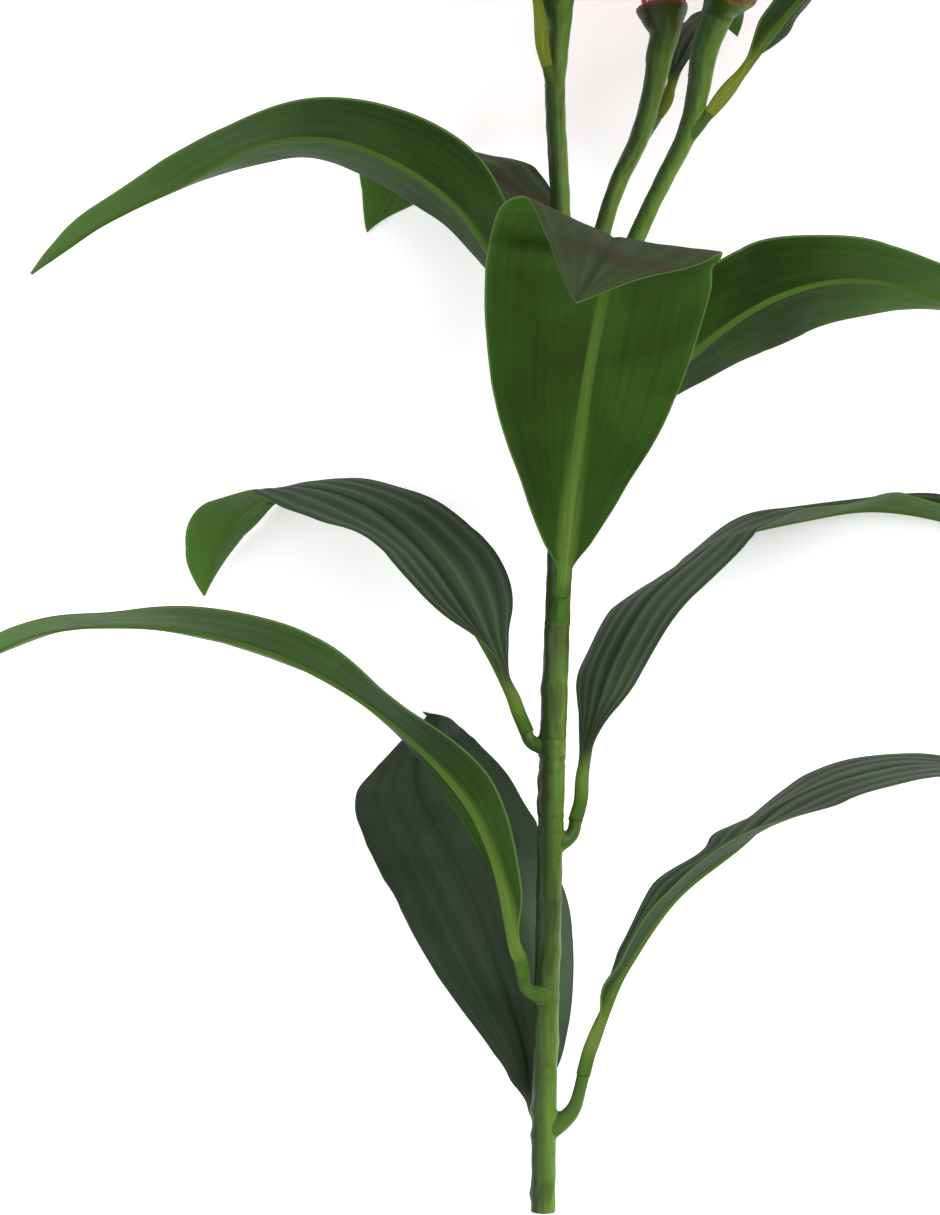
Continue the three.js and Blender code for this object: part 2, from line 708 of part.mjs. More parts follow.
// The closed bud: a spindle with three broad ridges, where its outer tepals overlap
function budGeometry(frame) {
  const stations = 14;
  const sides = 18;
  const sections = [];
  for (let s = 0; s <= stations; s++) {
    const share = s / stations;
    const height = BUD.length * share + FIT_GAP;
    const rise = Math.sin((Math.PI / 2) * Math.min(share / BUD.widest, 1)) ** 1.6;
    const point = Math.cos((Math.PI / 2) * Math.max((share - BUD.widest) / (1 - BUD.widest), 0)) ** 0.7;
    const radius = Math.max(BUD.radius * mix(BUD.foot, 1, rise) * point, EDGE_HALF_WIDTH);
    const bend = BUD.bend * share ** 2;
    sections.push(
      Array.from({ length: sides }, (_, k) => {
        const angle = Math.PI - ((k + 0.5) * 2 * Math.PI) / sides;
        const ridged = radius * (1 + 0.07 * Math.cos(3 * angle) - 0.03 * Math.cos(6 * angle));
        const local = new THREE.Vector3(ridged * Math.cos(angle) - bend, height, ridged * Math.sin(angle));
        return local.applyMatrix4(frame);
      }),
    );
  }
  return loftedGeometry(sections);
}

const meshOf = (name, geometry, colour, roughness) => {
  const mesh = new THREE.Mesh(
    geometry,
    new THREE.MeshStandardMaterial({ color: colour, roughness, metalness: 0 }),
  );
  mesh.name = name;
  return mesh;
};

const plant = new THREE.Group();
plant.add(meshOf("stem", stemGeometry(), COLOURS.stem, 0.45));
for (const [name, leaf] of Object.entries(LEAVES)) {
  plant.add(meshOf(name, leafGeometry(leaf), COLOURS.leaf, 0.5));
}
for (const [kind, bloom] of Object.entries(BLOOMS)) {
  const frame = frameOf(bloom);
  for (let k = 0; k < 6; k++) {
    const outer = k % 2 === 1;
    const name = `${kind}_bloom_${outer ? "outer" : "inner"}_tepal_${(k >> 1) + 1}`;
    plant.add(meshOf(name, tepalGeometry(bloom, frame, k * 60, outer), COLOURS.tepal, 0.5));
  }
  plant.add(meshOf(`${kind}_bloom_stamens`, stamensGeometry(bloom, frame), COLOURS.stamen, 0.6));
  plant.add(meshOf(`${kind}_bloom_pistil`, pistilGeometry(bloom, frame), COLOURS.pistil, 0.5));
}
plant.add(meshOf("bud", budGeometry(frameOf(BUD)), COLOURS.bud, 0.5));

// The part's frame: the bottom centre of the whole box
const box = new THREE.Box3().setFromObject(plant);
const middle = box.getCenter(new THREE.Vector3());
plant.position.set(-middle.x, -middle.y, -box.min.z);

const lily = new THREE.Group();
lily.add(plant);
export default lily;
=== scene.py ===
"""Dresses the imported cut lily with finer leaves, stem, tepals, stamens, pistils and bud.

Sizes are in millimetres, in the stem's own frame: the origin is the middle of the cut end, +X is
across the stem, +Y runs along it to the flowers and +Z points away from the table. The workbench
moves each surface to the part's frame and to metres when it makes an object of it.
"""

import json
import logging
import math
from collections.abc import Callable, Sequence
from dataclasses import dataclass, field
from enum import Enum

import bpy
import numpy as np
from mathutils import Matrix

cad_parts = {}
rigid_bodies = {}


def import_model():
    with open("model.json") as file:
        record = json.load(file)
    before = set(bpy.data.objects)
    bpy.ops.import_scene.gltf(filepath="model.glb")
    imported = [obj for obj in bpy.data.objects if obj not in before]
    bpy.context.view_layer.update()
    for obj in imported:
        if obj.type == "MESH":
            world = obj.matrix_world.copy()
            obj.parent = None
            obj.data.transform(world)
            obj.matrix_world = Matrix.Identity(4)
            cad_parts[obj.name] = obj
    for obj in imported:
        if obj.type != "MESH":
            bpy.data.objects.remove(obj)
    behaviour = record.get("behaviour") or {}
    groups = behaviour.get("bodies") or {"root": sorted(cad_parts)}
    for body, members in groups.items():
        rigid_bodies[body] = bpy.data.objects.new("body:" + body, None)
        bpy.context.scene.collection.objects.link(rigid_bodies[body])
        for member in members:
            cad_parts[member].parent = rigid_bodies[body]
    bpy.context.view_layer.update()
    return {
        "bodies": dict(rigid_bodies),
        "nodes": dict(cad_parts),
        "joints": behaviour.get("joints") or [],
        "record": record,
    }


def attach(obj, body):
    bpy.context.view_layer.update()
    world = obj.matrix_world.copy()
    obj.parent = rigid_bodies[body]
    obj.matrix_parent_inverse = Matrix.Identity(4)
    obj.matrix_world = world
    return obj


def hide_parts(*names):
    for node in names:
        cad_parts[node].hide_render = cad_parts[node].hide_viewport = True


Numbers = np.ndarray
Row = tuple[float, ...]
Colour = tuple[float, float, float]

BODY = "root"
METRE = 1000.0  # in millimetres
CUT_DEPTH = 0.2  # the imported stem's points this near its lower end belong to the cut
TABLE_BELOW_STEM = 55.0  # the stem's axis lies this far above the table
TOUCHDOWN = 3.0  # a blade this near the table bends to lie on it
ROUND_SWEEP = 86.0  # degrees either way that a blade's points spread round its foot
SLEEVE_OVERLAP = 0.9  # a leaf's round foot slips this far over its twig
SOCKET_LEAD = 4.0  # and runs straight on from it this far
BRACT_WIDTH = 22.0  # a leaf less wide than this is a bract
BRACT_SWELL = 0.3  # whose round foot is this much thicker half way along
BRACT_TONES = {"foot": (132, 142, 52), "twig": (104, 118, 42)}
RIBS = 3  # on each half of a leaf
RIB_CROWDING = 0.25  # how much closer the outer ones lie
UP = np.array([0.0, 0.0, 1.0])
ALONG = np.array([0.0, 1.0, 0.0])

log = logging.getLogger("lily")


class Kind(Enum):
    """Which of the two blooms."""

    OPEN = "open"
    HALF = "half"


class Whorl(Enum):
    """Which ring of a bloom's tepals."""

    INNER = "inner"
    OUTER = "outer"


class Face(Enum):
    """Which face of a blade."""

    UPPER = 1
    LOWER = -1


# Numbers, vectors and curves


def mix(low: Numbers | float, high: Numbers | float, share: Numbers | float) -> Numbers | float:
    """Returns the value at a share of the way from low to high."""
    return low + (high - low) * share


def smoothstep(value: Numbers | float, low: float, high: float) -> Numbers:
    """Returns 0 up to low and 1 from high on, with a smooth rise between."""
    share = np.clip((np.asarray(value, float) - low) / (high - low), 0.0, 1.0)
    return share * share * (3.0 - 2.0 * share)


def bell(distance: Numbers, width: Numbers | float) -> Numbers:
    """Returns a smooth hump, 1 at no distance and 0.37 at its width."""
    return np.exp(-((distance / width) ** 2))


def unit(vectors: Numbers) -> Numbers:
    """Returns vectors of length one."""
    return vectors / np.linalg.norm(vectors, axis=-1, keepdims=True)


def rest_on(floor: float, height: Numbers) -> Numbers:
    """Returns the heights, lifted smoothly so that none is below the floor."""
    above = height - floor
    lifted = floor + (above + TOUCHDOWN) ** 2 / (4 * TOUCHDOWN)
    return np.where(above >= TOUCHDOWN, height, np.where(above <= -TOUCHDOWN, floor, lifted))


def rib_turn(across: "Numbers | Wire") -> "Numbers | Wire":
    """Returns how far the ribs' wave has turned at a place across a leaf, in radians."""
    outward = abs(across)
    return outward * (1 - RIB_CROWDING + outward * RIB_CROWDING) * (2 * math.pi * RIBS)


def linear(colour: Colour) -> Colour:
    """Returns the linear light of a colour given as screen values from 0 to 255."""
    return tuple(((c / 255 + 0.055) / 1.055) ** 2.4 if c > 10 else c / 3294.6 for c in colour)


class SpaceCurve:
    """The smooth curve through a row of points, read by the share of its own length."""

    DIVISIONS = 600

    def __init__(self, points: Sequence[Sequence[float]] | Numbers) -> None:
        """Measures the curve that passes through the points."""
        places = np.asarray(points, float)[:, :3]
        self._steps = np.linspace(0.0, 1.0, self.DIVISIONS + 1)
        ends = 2 * places[0] - places[1], 2 * places[-1] - places[-2]
        self._padded = np.vstack([ends[0], places, ends[1]])
        runs = np.linalg.norm(np.diff(self._spline(self._padded, self._steps), axis=0), axis=1)
        self._run = np.concatenate([[0.0], np.cumsum(runs)])
        self.length = float(self._run[-1])

    @staticmethod
    def _spline(padded: Numbers, steps: Numbers, slope: bool = False) -> Numbers:
        """Evaluates the spline through padded values.

        Args:
            padded: The values, with one more before the first and after the last.
            steps: Where to read it, from 0 to 1 over the values.
            slope: Whether to give its slope and not its value.

        Returns:
            The values or slopes there.
        """
        last = len(padded) - 4
        at = np.asarray(steps, float) * (last + 1)
        index = np.clip(np.floor(at).astype(int), 0, last)
        t = (at - index).reshape(at.shape + (1,) * (padded.ndim - 1))
        a, b, c, d = (padded[index + k] for k in range(4))
        first, second = (c - a) / 2, (d - b) / 2
        square, cube = 2 * b - 2 * c + first + second, -3 * b + 3 * c - 2 * first - second
        if slope:
            return first + 2 * cube * t + 3 * square * t * t
        return b + first * t + cube * t * t + square * t * t * t

    def _parameter(self, share: Numbers) -> Numbers:
        """Returns the spline's parameter at shares of its length."""
        return np.interp(np.asarray(share, float) * self.length, self._run, self._steps)

    def place(self, share: Numbers) -> Numbers:
        """Returns the points at shares of the length."""
        return self._spline(self._padded, self._parameter(share))

    def direction(self, share: Numbers) -> Numbers:
        """Returns the directions at shares of the length."""
        return unit(self._spline(self._padded, self._parameter(share), slope=True))

    def value(self, values: Sequence[float], share: Numbers) -> Numbers:
        """Returns a number given at each of the curve's points, read at shares of the length."""
        row = np.asarray(values, float)
        padded = np.concatenate([row[:1], row, row[-1:]])
        return self._spline(padded, self._parameter(share))


# Meshes


@dataclass
class Shell:
    """A surface or rows of edges, with numbers on its points that the finishes read."""

    points: Numbers
    faces: list[list[int]]
    layers: dict[str, Numbers] = field(default_factory=dict)
    edges: Sequence[tuple[int, int]] = ()

    @staticmethod
    def loft(sections: Numbers, layers: dict[str, Numbers] | None = None) -> "Shell":
        """Joins a row of loops of points into a closed surface.

        Args:
            sections: The loops, as an array of section, point of the loop, and x, y, z.
            layers: Numbers for each point of each loop.

        Returns:
            The surface, with its two ends closed.
        """
        rows, loop = sections.shape[:2]
        grid = np.arange(rows * loop).reshape(rows, loop)
        following = np.roll(grid, -1, axis=1)
        quads = np.stack([grid[:-1], following[:-1], following[1:], grid[1:]], axis=-1).reshape(-1, 4)
        ends = [grid[0, ::-1].tolist(), grid[-1].tolist()]
        flat = {name: values.reshape(-1) for name, values in (layers or {}).items()}
        return Shell(sections.reshape(-1, 3), quads.tolist() + ends, flat).outward()

    def outward(self) -> "Shell":
        """Returns the surface with its faces turned outwards."""
        corners = np.array([face[:3] for face in self.faces if len(face) <= 4])
        fourth = np.array([face[-1] for face in self.faces if len(face) <= 4])
        a, b, c, d = (self.points[i] for i in (*corners.T, fourth))
        volume = (np.cross(a, b) * c).sum() + (np.cross(a, c) * d).sum()
        if volume < 0:
            self.faces = [face[::-1] for face in self.faces]
        return self

    def joined(self, *others: "Shell") -> "Shell":
        """Returns one surface of this one and others with the same layers."""
        shells = (self, *others)
        starts = np.cumsum([0] + [len(s.points) for s in shells])
        faces = [[i + int(at) for i in face] for s, at in zip(shells, starts) for face in s.faces]
        layers = {n: np.concatenate([s.layers[n] for s in shells]) for n in self.layers}
        return Shell(np.vstack([s.points for s in shells]), faces, layers)


class Workbench:
    """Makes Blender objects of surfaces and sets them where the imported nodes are."""

    def __init__(self, stem_node: str) -> None:
        """Finds the stem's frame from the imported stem's cut end."""
        corners = np.array([v.co for v in bpy.data.objects[stem_node].data.vertices]) * METRE
        cut = corners[corners[:, 1] < corners[:, 1].min() + CUT_DEPTH]
        middle = (cut.min(axis=0) + cut.max(axis=0)) / 2
        self.shift = np.array([middle[0], corners[:, 1].min(), middle[2]])

    def object_of(
        self, name: str, shell: Shell, material: bpy.types.Material | None = None, smooth: bool = True
    ) -> bpy.types.Object:
        """Makes an object of a surface, in the part's frame.

        Args:
            name: The object's name.
            shell: The surface, in the stem's frame and millimetres.
            material: Its material.
            smooth: Whether its faces are shaded smooth.

        Returns:
            The new object.
        """
        mesh = bpy.data.meshes.new(name)
        mesh.from_pydata(((shell.points + self.shift) / METRE).tolist(), shell.edges, shell.faces)
        for layer, values in shell.layers.items():
            column = mesh.attributes.new(layer, "FLOAT", "POINT")
            column.data.foreach_set("value", np.asarray(values, np.float32))
        mesh.polygons.foreach_set("use_smooth", [smooth] * len(mesh.polygons))
        mesh.validate()
        if material:
            mesh.materials.append(material)
        made = bpy.data.objects.new(name, mesh)
        bpy.context.scene.collection.objects.link(made)
        return made

    def points_of(self, made: bpy.types.Object) -> tuple[Numbers, Numbers]:
        """Returns an object's points in the stem's frame, in millimetres, and their normals."""
        count = len(made.data.vertices)
        points, normals = np.empty(count * 3), np.empty(count * 3)
        made.data.vertices.foreach_get("co", points)
        made.data.vertices.foreach_get("normal", normals)
        return points.reshape(-1, 3) * METRE - self.shift, normals.reshape(-1, 3)

    def set_points(self, made: bpy.types.Object, points: Numbers) -> None:
        """Moves an object's points, given in the stem's frame and millimetres."""
        made.data.vertices.foreach_set("co", ((points + self.shift) / METRE).reshape(-1))
        made.data.update()

    @staticmethod
    def set_layer(made: bpy.types.Object, layer: str, values: Numbers) -> None:
        """Writes a layer of numbers, one for each of an object's points, that its finish reads."""
        column = made.data.attributes.get(layer) or made.data.attributes.new(layer, "FLOAT", "POINT")
        column.data.foreach_set("value", np.asarray(values, np.float32))

    @staticmethod
    def merged(name: str, parts: Sequence[bpy.types.Object]) -> bpy.types.Object:
        """Returns one object of several, which keeps their materials and layers."""
        with bpy.context.temp_override(
            active_object=parts[0], object=parts[0], selected_objects=parts, selected_editable_objects=parts
        ):
            bpy.ops.object.join()
        parts[0].name = parts[0].data.name = name
        return parts[0]

    @staticmethod
    def settle(made: bpy.types.Object) -> None:
        """Turns what an object's modifiers make into its plain mesh."""
        graph = bpy.context.evaluated_depsgraph_get()
        mesh = bpy.data.meshes.new_from_object(
            made.evaluated_get(graph), preserve_all_data_layers=True, depsgraph=graph
        )
        made.modifiers.clear()
        mesh.name = made.name
        made.data = mesh

    @staticmethod
    def hand_over(made: bpy.types.Object, node: str, slot: str) -> None:
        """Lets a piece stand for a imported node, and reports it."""
        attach(made, BODY)
        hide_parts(node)
        log.info("%s: %d faces", made.name, len(made.data.polygons))


# Blades: leaves and tepals


@dataclass
class Blade:
    """A thin blade along a spine, round at its foot and flat further on.

    A spine's row is x, y, z, the blade's twist there and how far its halves fold up, in degrees.
    The rim is the edge's share of the thickness, the lip is how far the end of the round foot
    stands out, and the swell is how much thicker that foot is half way along, as a share.
    """

    spine: Sequence[Row]
    up: Numbers
    foot: float
    radius: float
    thickness: float
    stations: int
    columns: Numbers
    breadth: Callable[[Numbers, Numbers], Numbers]
    rise: Callable[[Numbers, Numbers, Numbers, Numbers], tuple[Numbers, Numbers]]
    relief: Callable[[Numbers, Numbers, Numbers, Face], Numbers]
    rim: float = 0.4
    lip: float = 0.0
    swell: float = 0.0

    def shell(self) -> Shell:
        """Builds the blade.

        Returns:
            Its surface, with the layers along, across, upper, socket and breadth.
        """
        curve = SpaceCurve([row[:3] for row in self.spine])
        share = np.linspace(0.0, 1.0, self.stations + 1)
        centre, tangent = curve.place(share), curve.direction(share)
        straight = unit(self.up - (tangent @ self.up)[:, None] * tangent)
        twist = np.radians(curve.value([row[3] for row in self.spine], share))[:, None]
        normal = straight * np.cos(twist) + np.cross(tangent, straight) * np.sin(twist)
        across = np.cross(tangent, normal)
        fold = np.radians(curve.value([row[4] for row in self.spine], share))[:, None]
        reach = share * curve.length
        blade = (np.maximum(reach - self.foot, 0) / (curve.length - self.foot))[:, None]
        v = self.columns[None, :]
        half = np.maximum(self.breadth(blade, v), self._least(share)[:, None])
        out, lift = self.rise(blade, v, half, fold)
        middle = centre[:, None] + across[:, None] * out[..., None] + normal[:, None] * lift[..., None]
        middle[..., 2] = rest_on(self.thickness / 2 - TABLE_BELOW_STEM, middle[..., 2])
        outward = unit(np.cross(np.gradient(middle, axis=1), np.gradient(middle, axis=0)))
        swollen = self.radius * (1 + self.swell * np.sin(np.pi * np.minimum(reach / self.foot, 1)))
        flat = smoothstep(reach, self.foot * 0.6, self.foot * 1.6 + 6)[:, None, None]
        faces = []
        for face in Face:
            deep = self.thickness / 2 * mix(self.rim, 1.0, np.sqrt(1 - v * v))
            deep = deep + self.relief(blade, v, half, face)
            level = middle + outward * (face.value * deep)[..., None]
            angle = np.radians(ROUND_SWEEP * v)[..., None]
            girth = (swollen + self.lip * bell(reach - 0.7, 0.6))[:, None, None]
            ring = across[:, None] * np.sin(angle) + normal[:, None] * np.cos(angle) * face.value
            points = mix(centre[:, None] + girth * ring, level, flat)
            points[..., 2] = np.maximum(points[..., 2], -TABLE_BELOW_STEM)
            faces.append(points)
        shape = faces[0].shape[:2]
        layers = {"along": share[:, None], "across": v, "socket": 1 - flat[..., 0], "breadth": half}
        spread = {name: np.broadcast_to(values, shape) for name, values in layers.items()}
        both = {name: np.concatenate([values, values[:, ::-1]], axis=1) for name, values in spread.items()}
        both["upper"] = np.concatenate([np.ones(shape), np.zeros(shape)], axis=1)
        return Shell.loft(np.concatenate([faces[0], faces[1][:, ::-1]], axis=1), both)

    def _least(self, share: Numbers) -> Numbers:
        """Returns the least half width, which rounds off the tip."""
        return mix(self.radius / 2, 0.12, smoothstep(share, 0.985, 1.0))


def outline(share: Numbers, widest: float, foot_power: float, tip_power: float) -> Numbers:
    """Gives a blade's outline.

    Args:
        share: Where along the blade.
        widest: Where it is widest.
        foot_power: How slender it is towards the foot.
        tip_power: How slender it is towards the tip.

    Returns:
        Half widths, 0 at the foot and the tip and 1 where it is widest.
    """
    quarter = np.pi / 2
    foot = np.sin(quarter * np.clip(share / widest, 0, 1)) ** foot_power
    tip = np.cos(quarter * np.clip((share - widest) / (1 - widest), 0, 1)) ** tip_power
    return np.where(share < widest, foot, tip)


def columns_of(count: int, extra: Sequence[float]) -> Numbers:
    """Returns columns from -1 to 1 at even distances, and more of them at extra places on both halves."""
    more = np.concatenate([extra, np.negative(extra)])
    return np.unique(np.round(np.concatenate([np.linspace(-1, 1, count), more]), 5))


# Nodes


class Wire:
    """An output socket, on which Python's operators add Math nodes."""

    def __init__(self, graph: "Graph", socket: bpy.types.NodeSocket) -> None:
        """Wraps a socket of a graph."""
        self.graph, self.socket = graph, socket

    def _math(self, operation: str, *values: "Wire | float") -> "Wire":
        """Adds one Math node."""
        return self.graph.node("ShaderNodeMath", {"operation": operation}, dict(enumerate(values)))

    def __add__(self, other: "Wire | float") -> "Wire":
        """Returns the sum."""
        return self._math("ADD", self, other)

    def __sub__(self, other: "Wire | float") -> "Wire":
        """Returns the difference."""
        return self._math("SUBTRACT", self, other)

    def __rsub__(self, other: float) -> "Wire":
        """Returns the difference from a number."""
        return self._math("SUBTRACT", other, self)

    def __mul__(self, other: "Wire | float") -> "Wire":
        """Returns the product."""
        return self._math("MULTIPLY", self, other)

    def __abs__(self) -> "Wire":
        """Returns the value without its sign."""
        return self._math("ABSOLUTE", self)

    __radd__ = __add__
    __rmul__ = __mul__

    def cosine(self) -> "Wire":
        """Returns the cosine of the value in radians."""
        return self._math("COSINE", self)

    def ramp(self, low: float, high: float) -> "Wire":
        """Returns a smooth rise from 0 at low to 1 at high, or a fall if low is the greater."""
        return self.graph.node(
            "ShaderNodeMapRange",
            {"interpolation_type": "SMOOTHSTEP"},
            {"Value": self, "From Min": low, "From Max": high},
        )


class Graph:
    """Adds nodes to one tree."""

    def __init__(self, tree: bpy.types.NodeTree) -> None:
        """Takes the tree to add to."""
        self.tree = tree

    @staticmethod
    def _pick(sockets: bpy.types.bpy_prop_collection, key: int | str) -> bpy.types.NodeSocket:
        """Returns the socket with a number, an identifier or a name."""
        if isinstance(key, int):
            return sockets[key]
        exact = [s for s in sockets if s.identifier == key]
        return (exact or [s for s in sockets if s.name == key and s.enabled])[0]

    def node(
        self, kind: str, settings: dict | None = None, inputs: dict | None = None, output: int | str = 0
    ) -> Wire:
        """Adds one node.

        Args:
            kind: The node's type.
            settings: Its own settings.
            inputs: Values or wires for its sockets, by number, identifier or name.
            output: The socket to return.

        Returns:
            The chosen output.
        """
        node = self.tree.nodes.new(kind)
        for name, value in (settings or {}).items():
            setattr(node, name, value)
        for key, value in (inputs or {}).items():
            socket = self._pick(node.inputs, key)
            if isinstance(value, Wire):
                self.tree.links.new(value.socket, socket)
            else:
                socket.default_value = value
        return Wire(self, self._pick(node.outputs, output))


class Shader(Graph):
    """The nodes of one material."""

    def __init__(self, name: str) -> None:
        """Makes an empty material."""
        self.material = bpy.data.materials.new(name)
        self.material.use_nodes = True
        super().__init__(self.material.node_tree)
        self.tree.nodes.clear()
        self.place = self.node("ShaderNodeTexCoord", output="Object")

    def layers(self, *names: str) -> list[Wire]:
        """Reads layers of numbers on the piece."""
        return [self.node("ShaderNodeAttribute", {"attribute_name": name}, output="Fac") for name in names]

    def vector(self, x: Wire | float, y: Wire | float, z: Wire | float) -> Wire:
        """Joins three values into one vector."""
        return self.node("ShaderNodeCombineXYZ", {}, {0: x, 1: y, 2: z})

    def axes(self) -> tuple[Wire, Wire, Wire]:
        """Returns the three object coordinates, in metres."""
        return tuple(self.node("ShaderNodeSeparateXYZ", {}, {0: self.place}, n) for n in range(3))

    def noise(self, scale: float, detail: float = 2.0, vector: Wire | None = None, warp: float = 0.0) -> Wire:
        """Adds soft noise.

        Args:
            scale: Its patches in one unit of length.
            detail: How many finer layers it has.
            vector: Where it is read, if not at the object coordinates.
            warp: How far it is distorted.

        Returns:
            A value round 0.5.
        """
        where = {"Vector": vector or self.place, "Scale": scale, "Detail": detail, "Distortion": warp}
        return self.node("ShaderNodeTexNoise", {}, where)

    def dots(self, vector: Wire) -> Wire:
        """Returns the distance to the nearest of scattered dots, about one to a unit of the vector."""
        return self.node("ShaderNodeTexVoronoi", {}, {"Vector": vector, "Scale": 1.0})

    def blend(self, share: Wire | float, low: Wire | Colour, high: Wire | Colour) -> Wire:
        """Mixes two colours, given as wires or as screen values, by how much of the second one shows."""
        low, high = (c if isinstance(c, Wire) else (*linear(c), 1.0) for c in (low, high))
        inputs = {"Factor_Float": share, "A_Color": low, "B_Color": high}
        return self.node("ShaderNodeMix", {"data_type": "RGBA"}, inputs, "Result_Color")

    def paint(self, colour: Wire, *coats: tuple[Wire | float, Wire | Colour]) -> Wire:
        """Lays coats over a colour, each given as how much of it shows and its own colour."""
        for share, coat in coats:
            colour = self.blend(share, colour, coat)
        return colour

    def bump(self, height: Wire, distance: float) -> Wire:
        """Turns a height into a normal, where a height of 1 stands for a distance in millimetres."""
        inputs = {"Height": height, "Distance": distance / METRE, "Strength": 1.0}
        return self.node("ShaderNodeBump", {}, inputs)

    def surface(self, **sockets: Wire | float) -> bpy.types.Material:
        """Ends the material with its shader, whose sockets' names are given with _ for a space."""
        inputs = {name.replace("_", " "): value for name, value in sockets.items()}
        shader = self.node("ShaderNodeBsdfPrincipled", {}, inputs)
        end = self.tree.nodes.new("ShaderNodeOutputMaterial")
        self.tree.links.new(shader.socket, end.inputs["Surface"])
        return self.material


class Growth(Graph):
    """One Geometry Nodes tree with named inputs, which ends in plain faces of one material."""

    KINDS = {float: "NodeSocketFloat", int: "NodeSocketInt", str: "NodeSocketString"}

    def __init__(self, name: str, sizes: dict[str, float | int | str]) -> None:
        """Makes the tree, and its inputs with their values, lengths in metres."""
        super().__init__(bpy.data.node_groups.new(name, "GeometryNodeTree"))
        face = self.tree.interface
        face.new_socket(name="Geometry", in_out="INPUT", socket_type="NodeSocketGeometry")
        face.new_socket(name="Geometry", in_out="OUTPUT", socket_type="NodeSocketGeometry")
        self.values = {}
        for label, value in sizes.items():
            socket = face.new_socket(name=label, in_out="INPUT", socket_type=self.KINDS[type(value)])
            self.values[socket.identifier] = value
        self._source = self.tree.nodes.new("NodeGroupInput")
        self.geometry = self.input("Geometry")

    def input(self, label: str) -> Wire:
        """Returns one of the tree's inputs."""
        return Wire(self, self._source.outputs[label])

    def named(self, label: str) -> Wire:
        """Reads the layer whose name an input gives."""
        settings = {"data_type": "FLOAT"}
        return self.node("GeometryNodeInputNamedAttribute", settings, {"Name": self.input(label)})

    def finish(self, geometry: Wire, material: bpy.types.Material) -> None:
        """Ends the tree with what it has made, all of one material."""
        shaded = self.node("GeometryNodeSetShadeSmooth", {}, {"Geometry": geometry})
        plain = self.node("GeometryNodeRealizeInstances", {}, {"Geometry": shaded})
        dressed = self.node("GeometryNodeSetMaterial", {}, {"Geometry": plain, "Material": material})
        end = self.tree.nodes.new("NodeGroupOutput")
        self.tree.links.new(dressed.socket, end.inputs["Geometry"])

    def grow(self, source: bpy.types.Object) -> bpy.types.Object:
        """Runs the tree on an object, whose mesh is then what the tree made, and returns the object."""
        modifier = source.modifiers.new("growth", "NODES")
        modifier.node_group = self.tree
        for identifier, value in self.values.items():
            modifier[identifier] = value
        Workbench.settle(source)
        return source


class TubeGrowth(Growth):
    """Round tubes along rows of points, as thick as the points' layer says."""

    LAYER = "girth"

    def __init__(self, name: str, sides: int, material: bpy.types.Material) -> None:
        """Builds the tree for tubes with a number of sides."""
        super().__init__(name, {"Sides": sides, "Thickness": self.LAYER})
        path = self.node("GeometryNodeMeshToCurve", {}, {"Mesh": self.geometry})
        circle = {"Resolution": self.input("Sides"), "Radius": 1.0}
        ring = self.node("GeometryNodeCurvePrimitiveCircle", {}, circle)
        inputs = {"Curve": path, "Profile Curve": ring, "Scale": self.named("Thickness"), "Fill Caps": True}
        self.finish(self.node("GeometryNodeCurveToMesh", {}, inputs), material)

    def tubes(
        self, bench: Workbench, name: str, paths: Sequence[tuple[Numbers, Numbers]]
    ) -> bpy.types.Object:
        """Returns one object of all tubes, each given as its points and its radii, in millimetres."""
        points = np.vstack([path for path, _ in paths])
        girth = np.concatenate([radii for _, radii in paths]) / METRE
        starts = np.cumsum([0] + [len(path) for path, _ in paths])
        edges = [(i, i + 1) for a, b in zip(starts, starts[1:]) for i in range(int(a), int(b) - 1)]
        return self.grow(bench.object_of(name, Shell(points, [], {self.LAYER: girth}, edges)))


class ScatterGrowth(Growth):
    """Small bodies scattered over a surface, where a layer of the surface lets them be."""

    def __init__(
        self, name: str, layer: str, density: float, size: tuple[float, float], tall: float, seed: int,
        material: bpy.types.Material, pointed: bool = False,
    ) -> None:
        """Builds the tree.

        Args:
            name: The tree's name.
            layer: The layer that says how many there are, from 0 to 1.
            density: The most of them on a square millimetre.
            size: Their least and greatest radius, in millimetres.
            tall: Their height as a share of their width.
            seed: The seed of their places.
            material: Their material.
            pointed: Whether they are small cones and not round grains.
        """
        sizes = {
            "Where": layer, "Density": density * METRE**2, "Smallest": size[0] / METRE,
            "Largest": size[1] / METRE, "Tallness": tall, "Seed": seed,
        }
        super().__init__(name, sizes)
        chance, thick = self.input("Seed"), self.named("Where") * self.input("Density")
        inputs = {"Mesh": self.geometry, "Density": thick, "Seed": chance}
        spread = self.node("GeometryNodeDistributePointsOnFaces", {}, inputs)
        turn = Wire(self, spread.socket.node.outputs["Rotation"])
        if pointed:
            shape = {"Vertices": 6, "Radius Top": 0.25, "Radius Bottom": 1.0, "Depth": 2.0}
            grain = self.node("GeometryNodeMeshCone", {}, shape)
        else:
            grain = self.node("GeometryNodeMeshIcoSphere", {}, {"Radius": 1.0, "Subdivisions": 1})
        inputs = {"Min_001": self.input("Smallest"), "Max_001": self.input("Largest"), "Seed": chance}
        radius = self.node("FunctionNodeRandomValue", {"data_type": "FLOAT"}, inputs, "Value_001")
        height = radius * self.input("Tallness")
        scale = self.node("ShaderNodeCombineXYZ", {}, {0: radius, 1: radius, 2: height})
        inputs = {"Points": spread, "Instance": grain, "Rotation": turn, "Scale": scale}
        self.finish(self.node("GeometryNodeInstanceOnPoints", {}, inputs), material)

    def over(self, source: bpy.types.Object, name: str) -> bpy.types.Object:
        """Returns the bodies alone, scattered over a copy of an object."""
        copy = bpy.data.objects.new(name, source.data.copy())
        bpy.context.scene.collection.objects.link(copy)
        copy.data.materials.clear()
        return self.grow(copy)


# Finishes


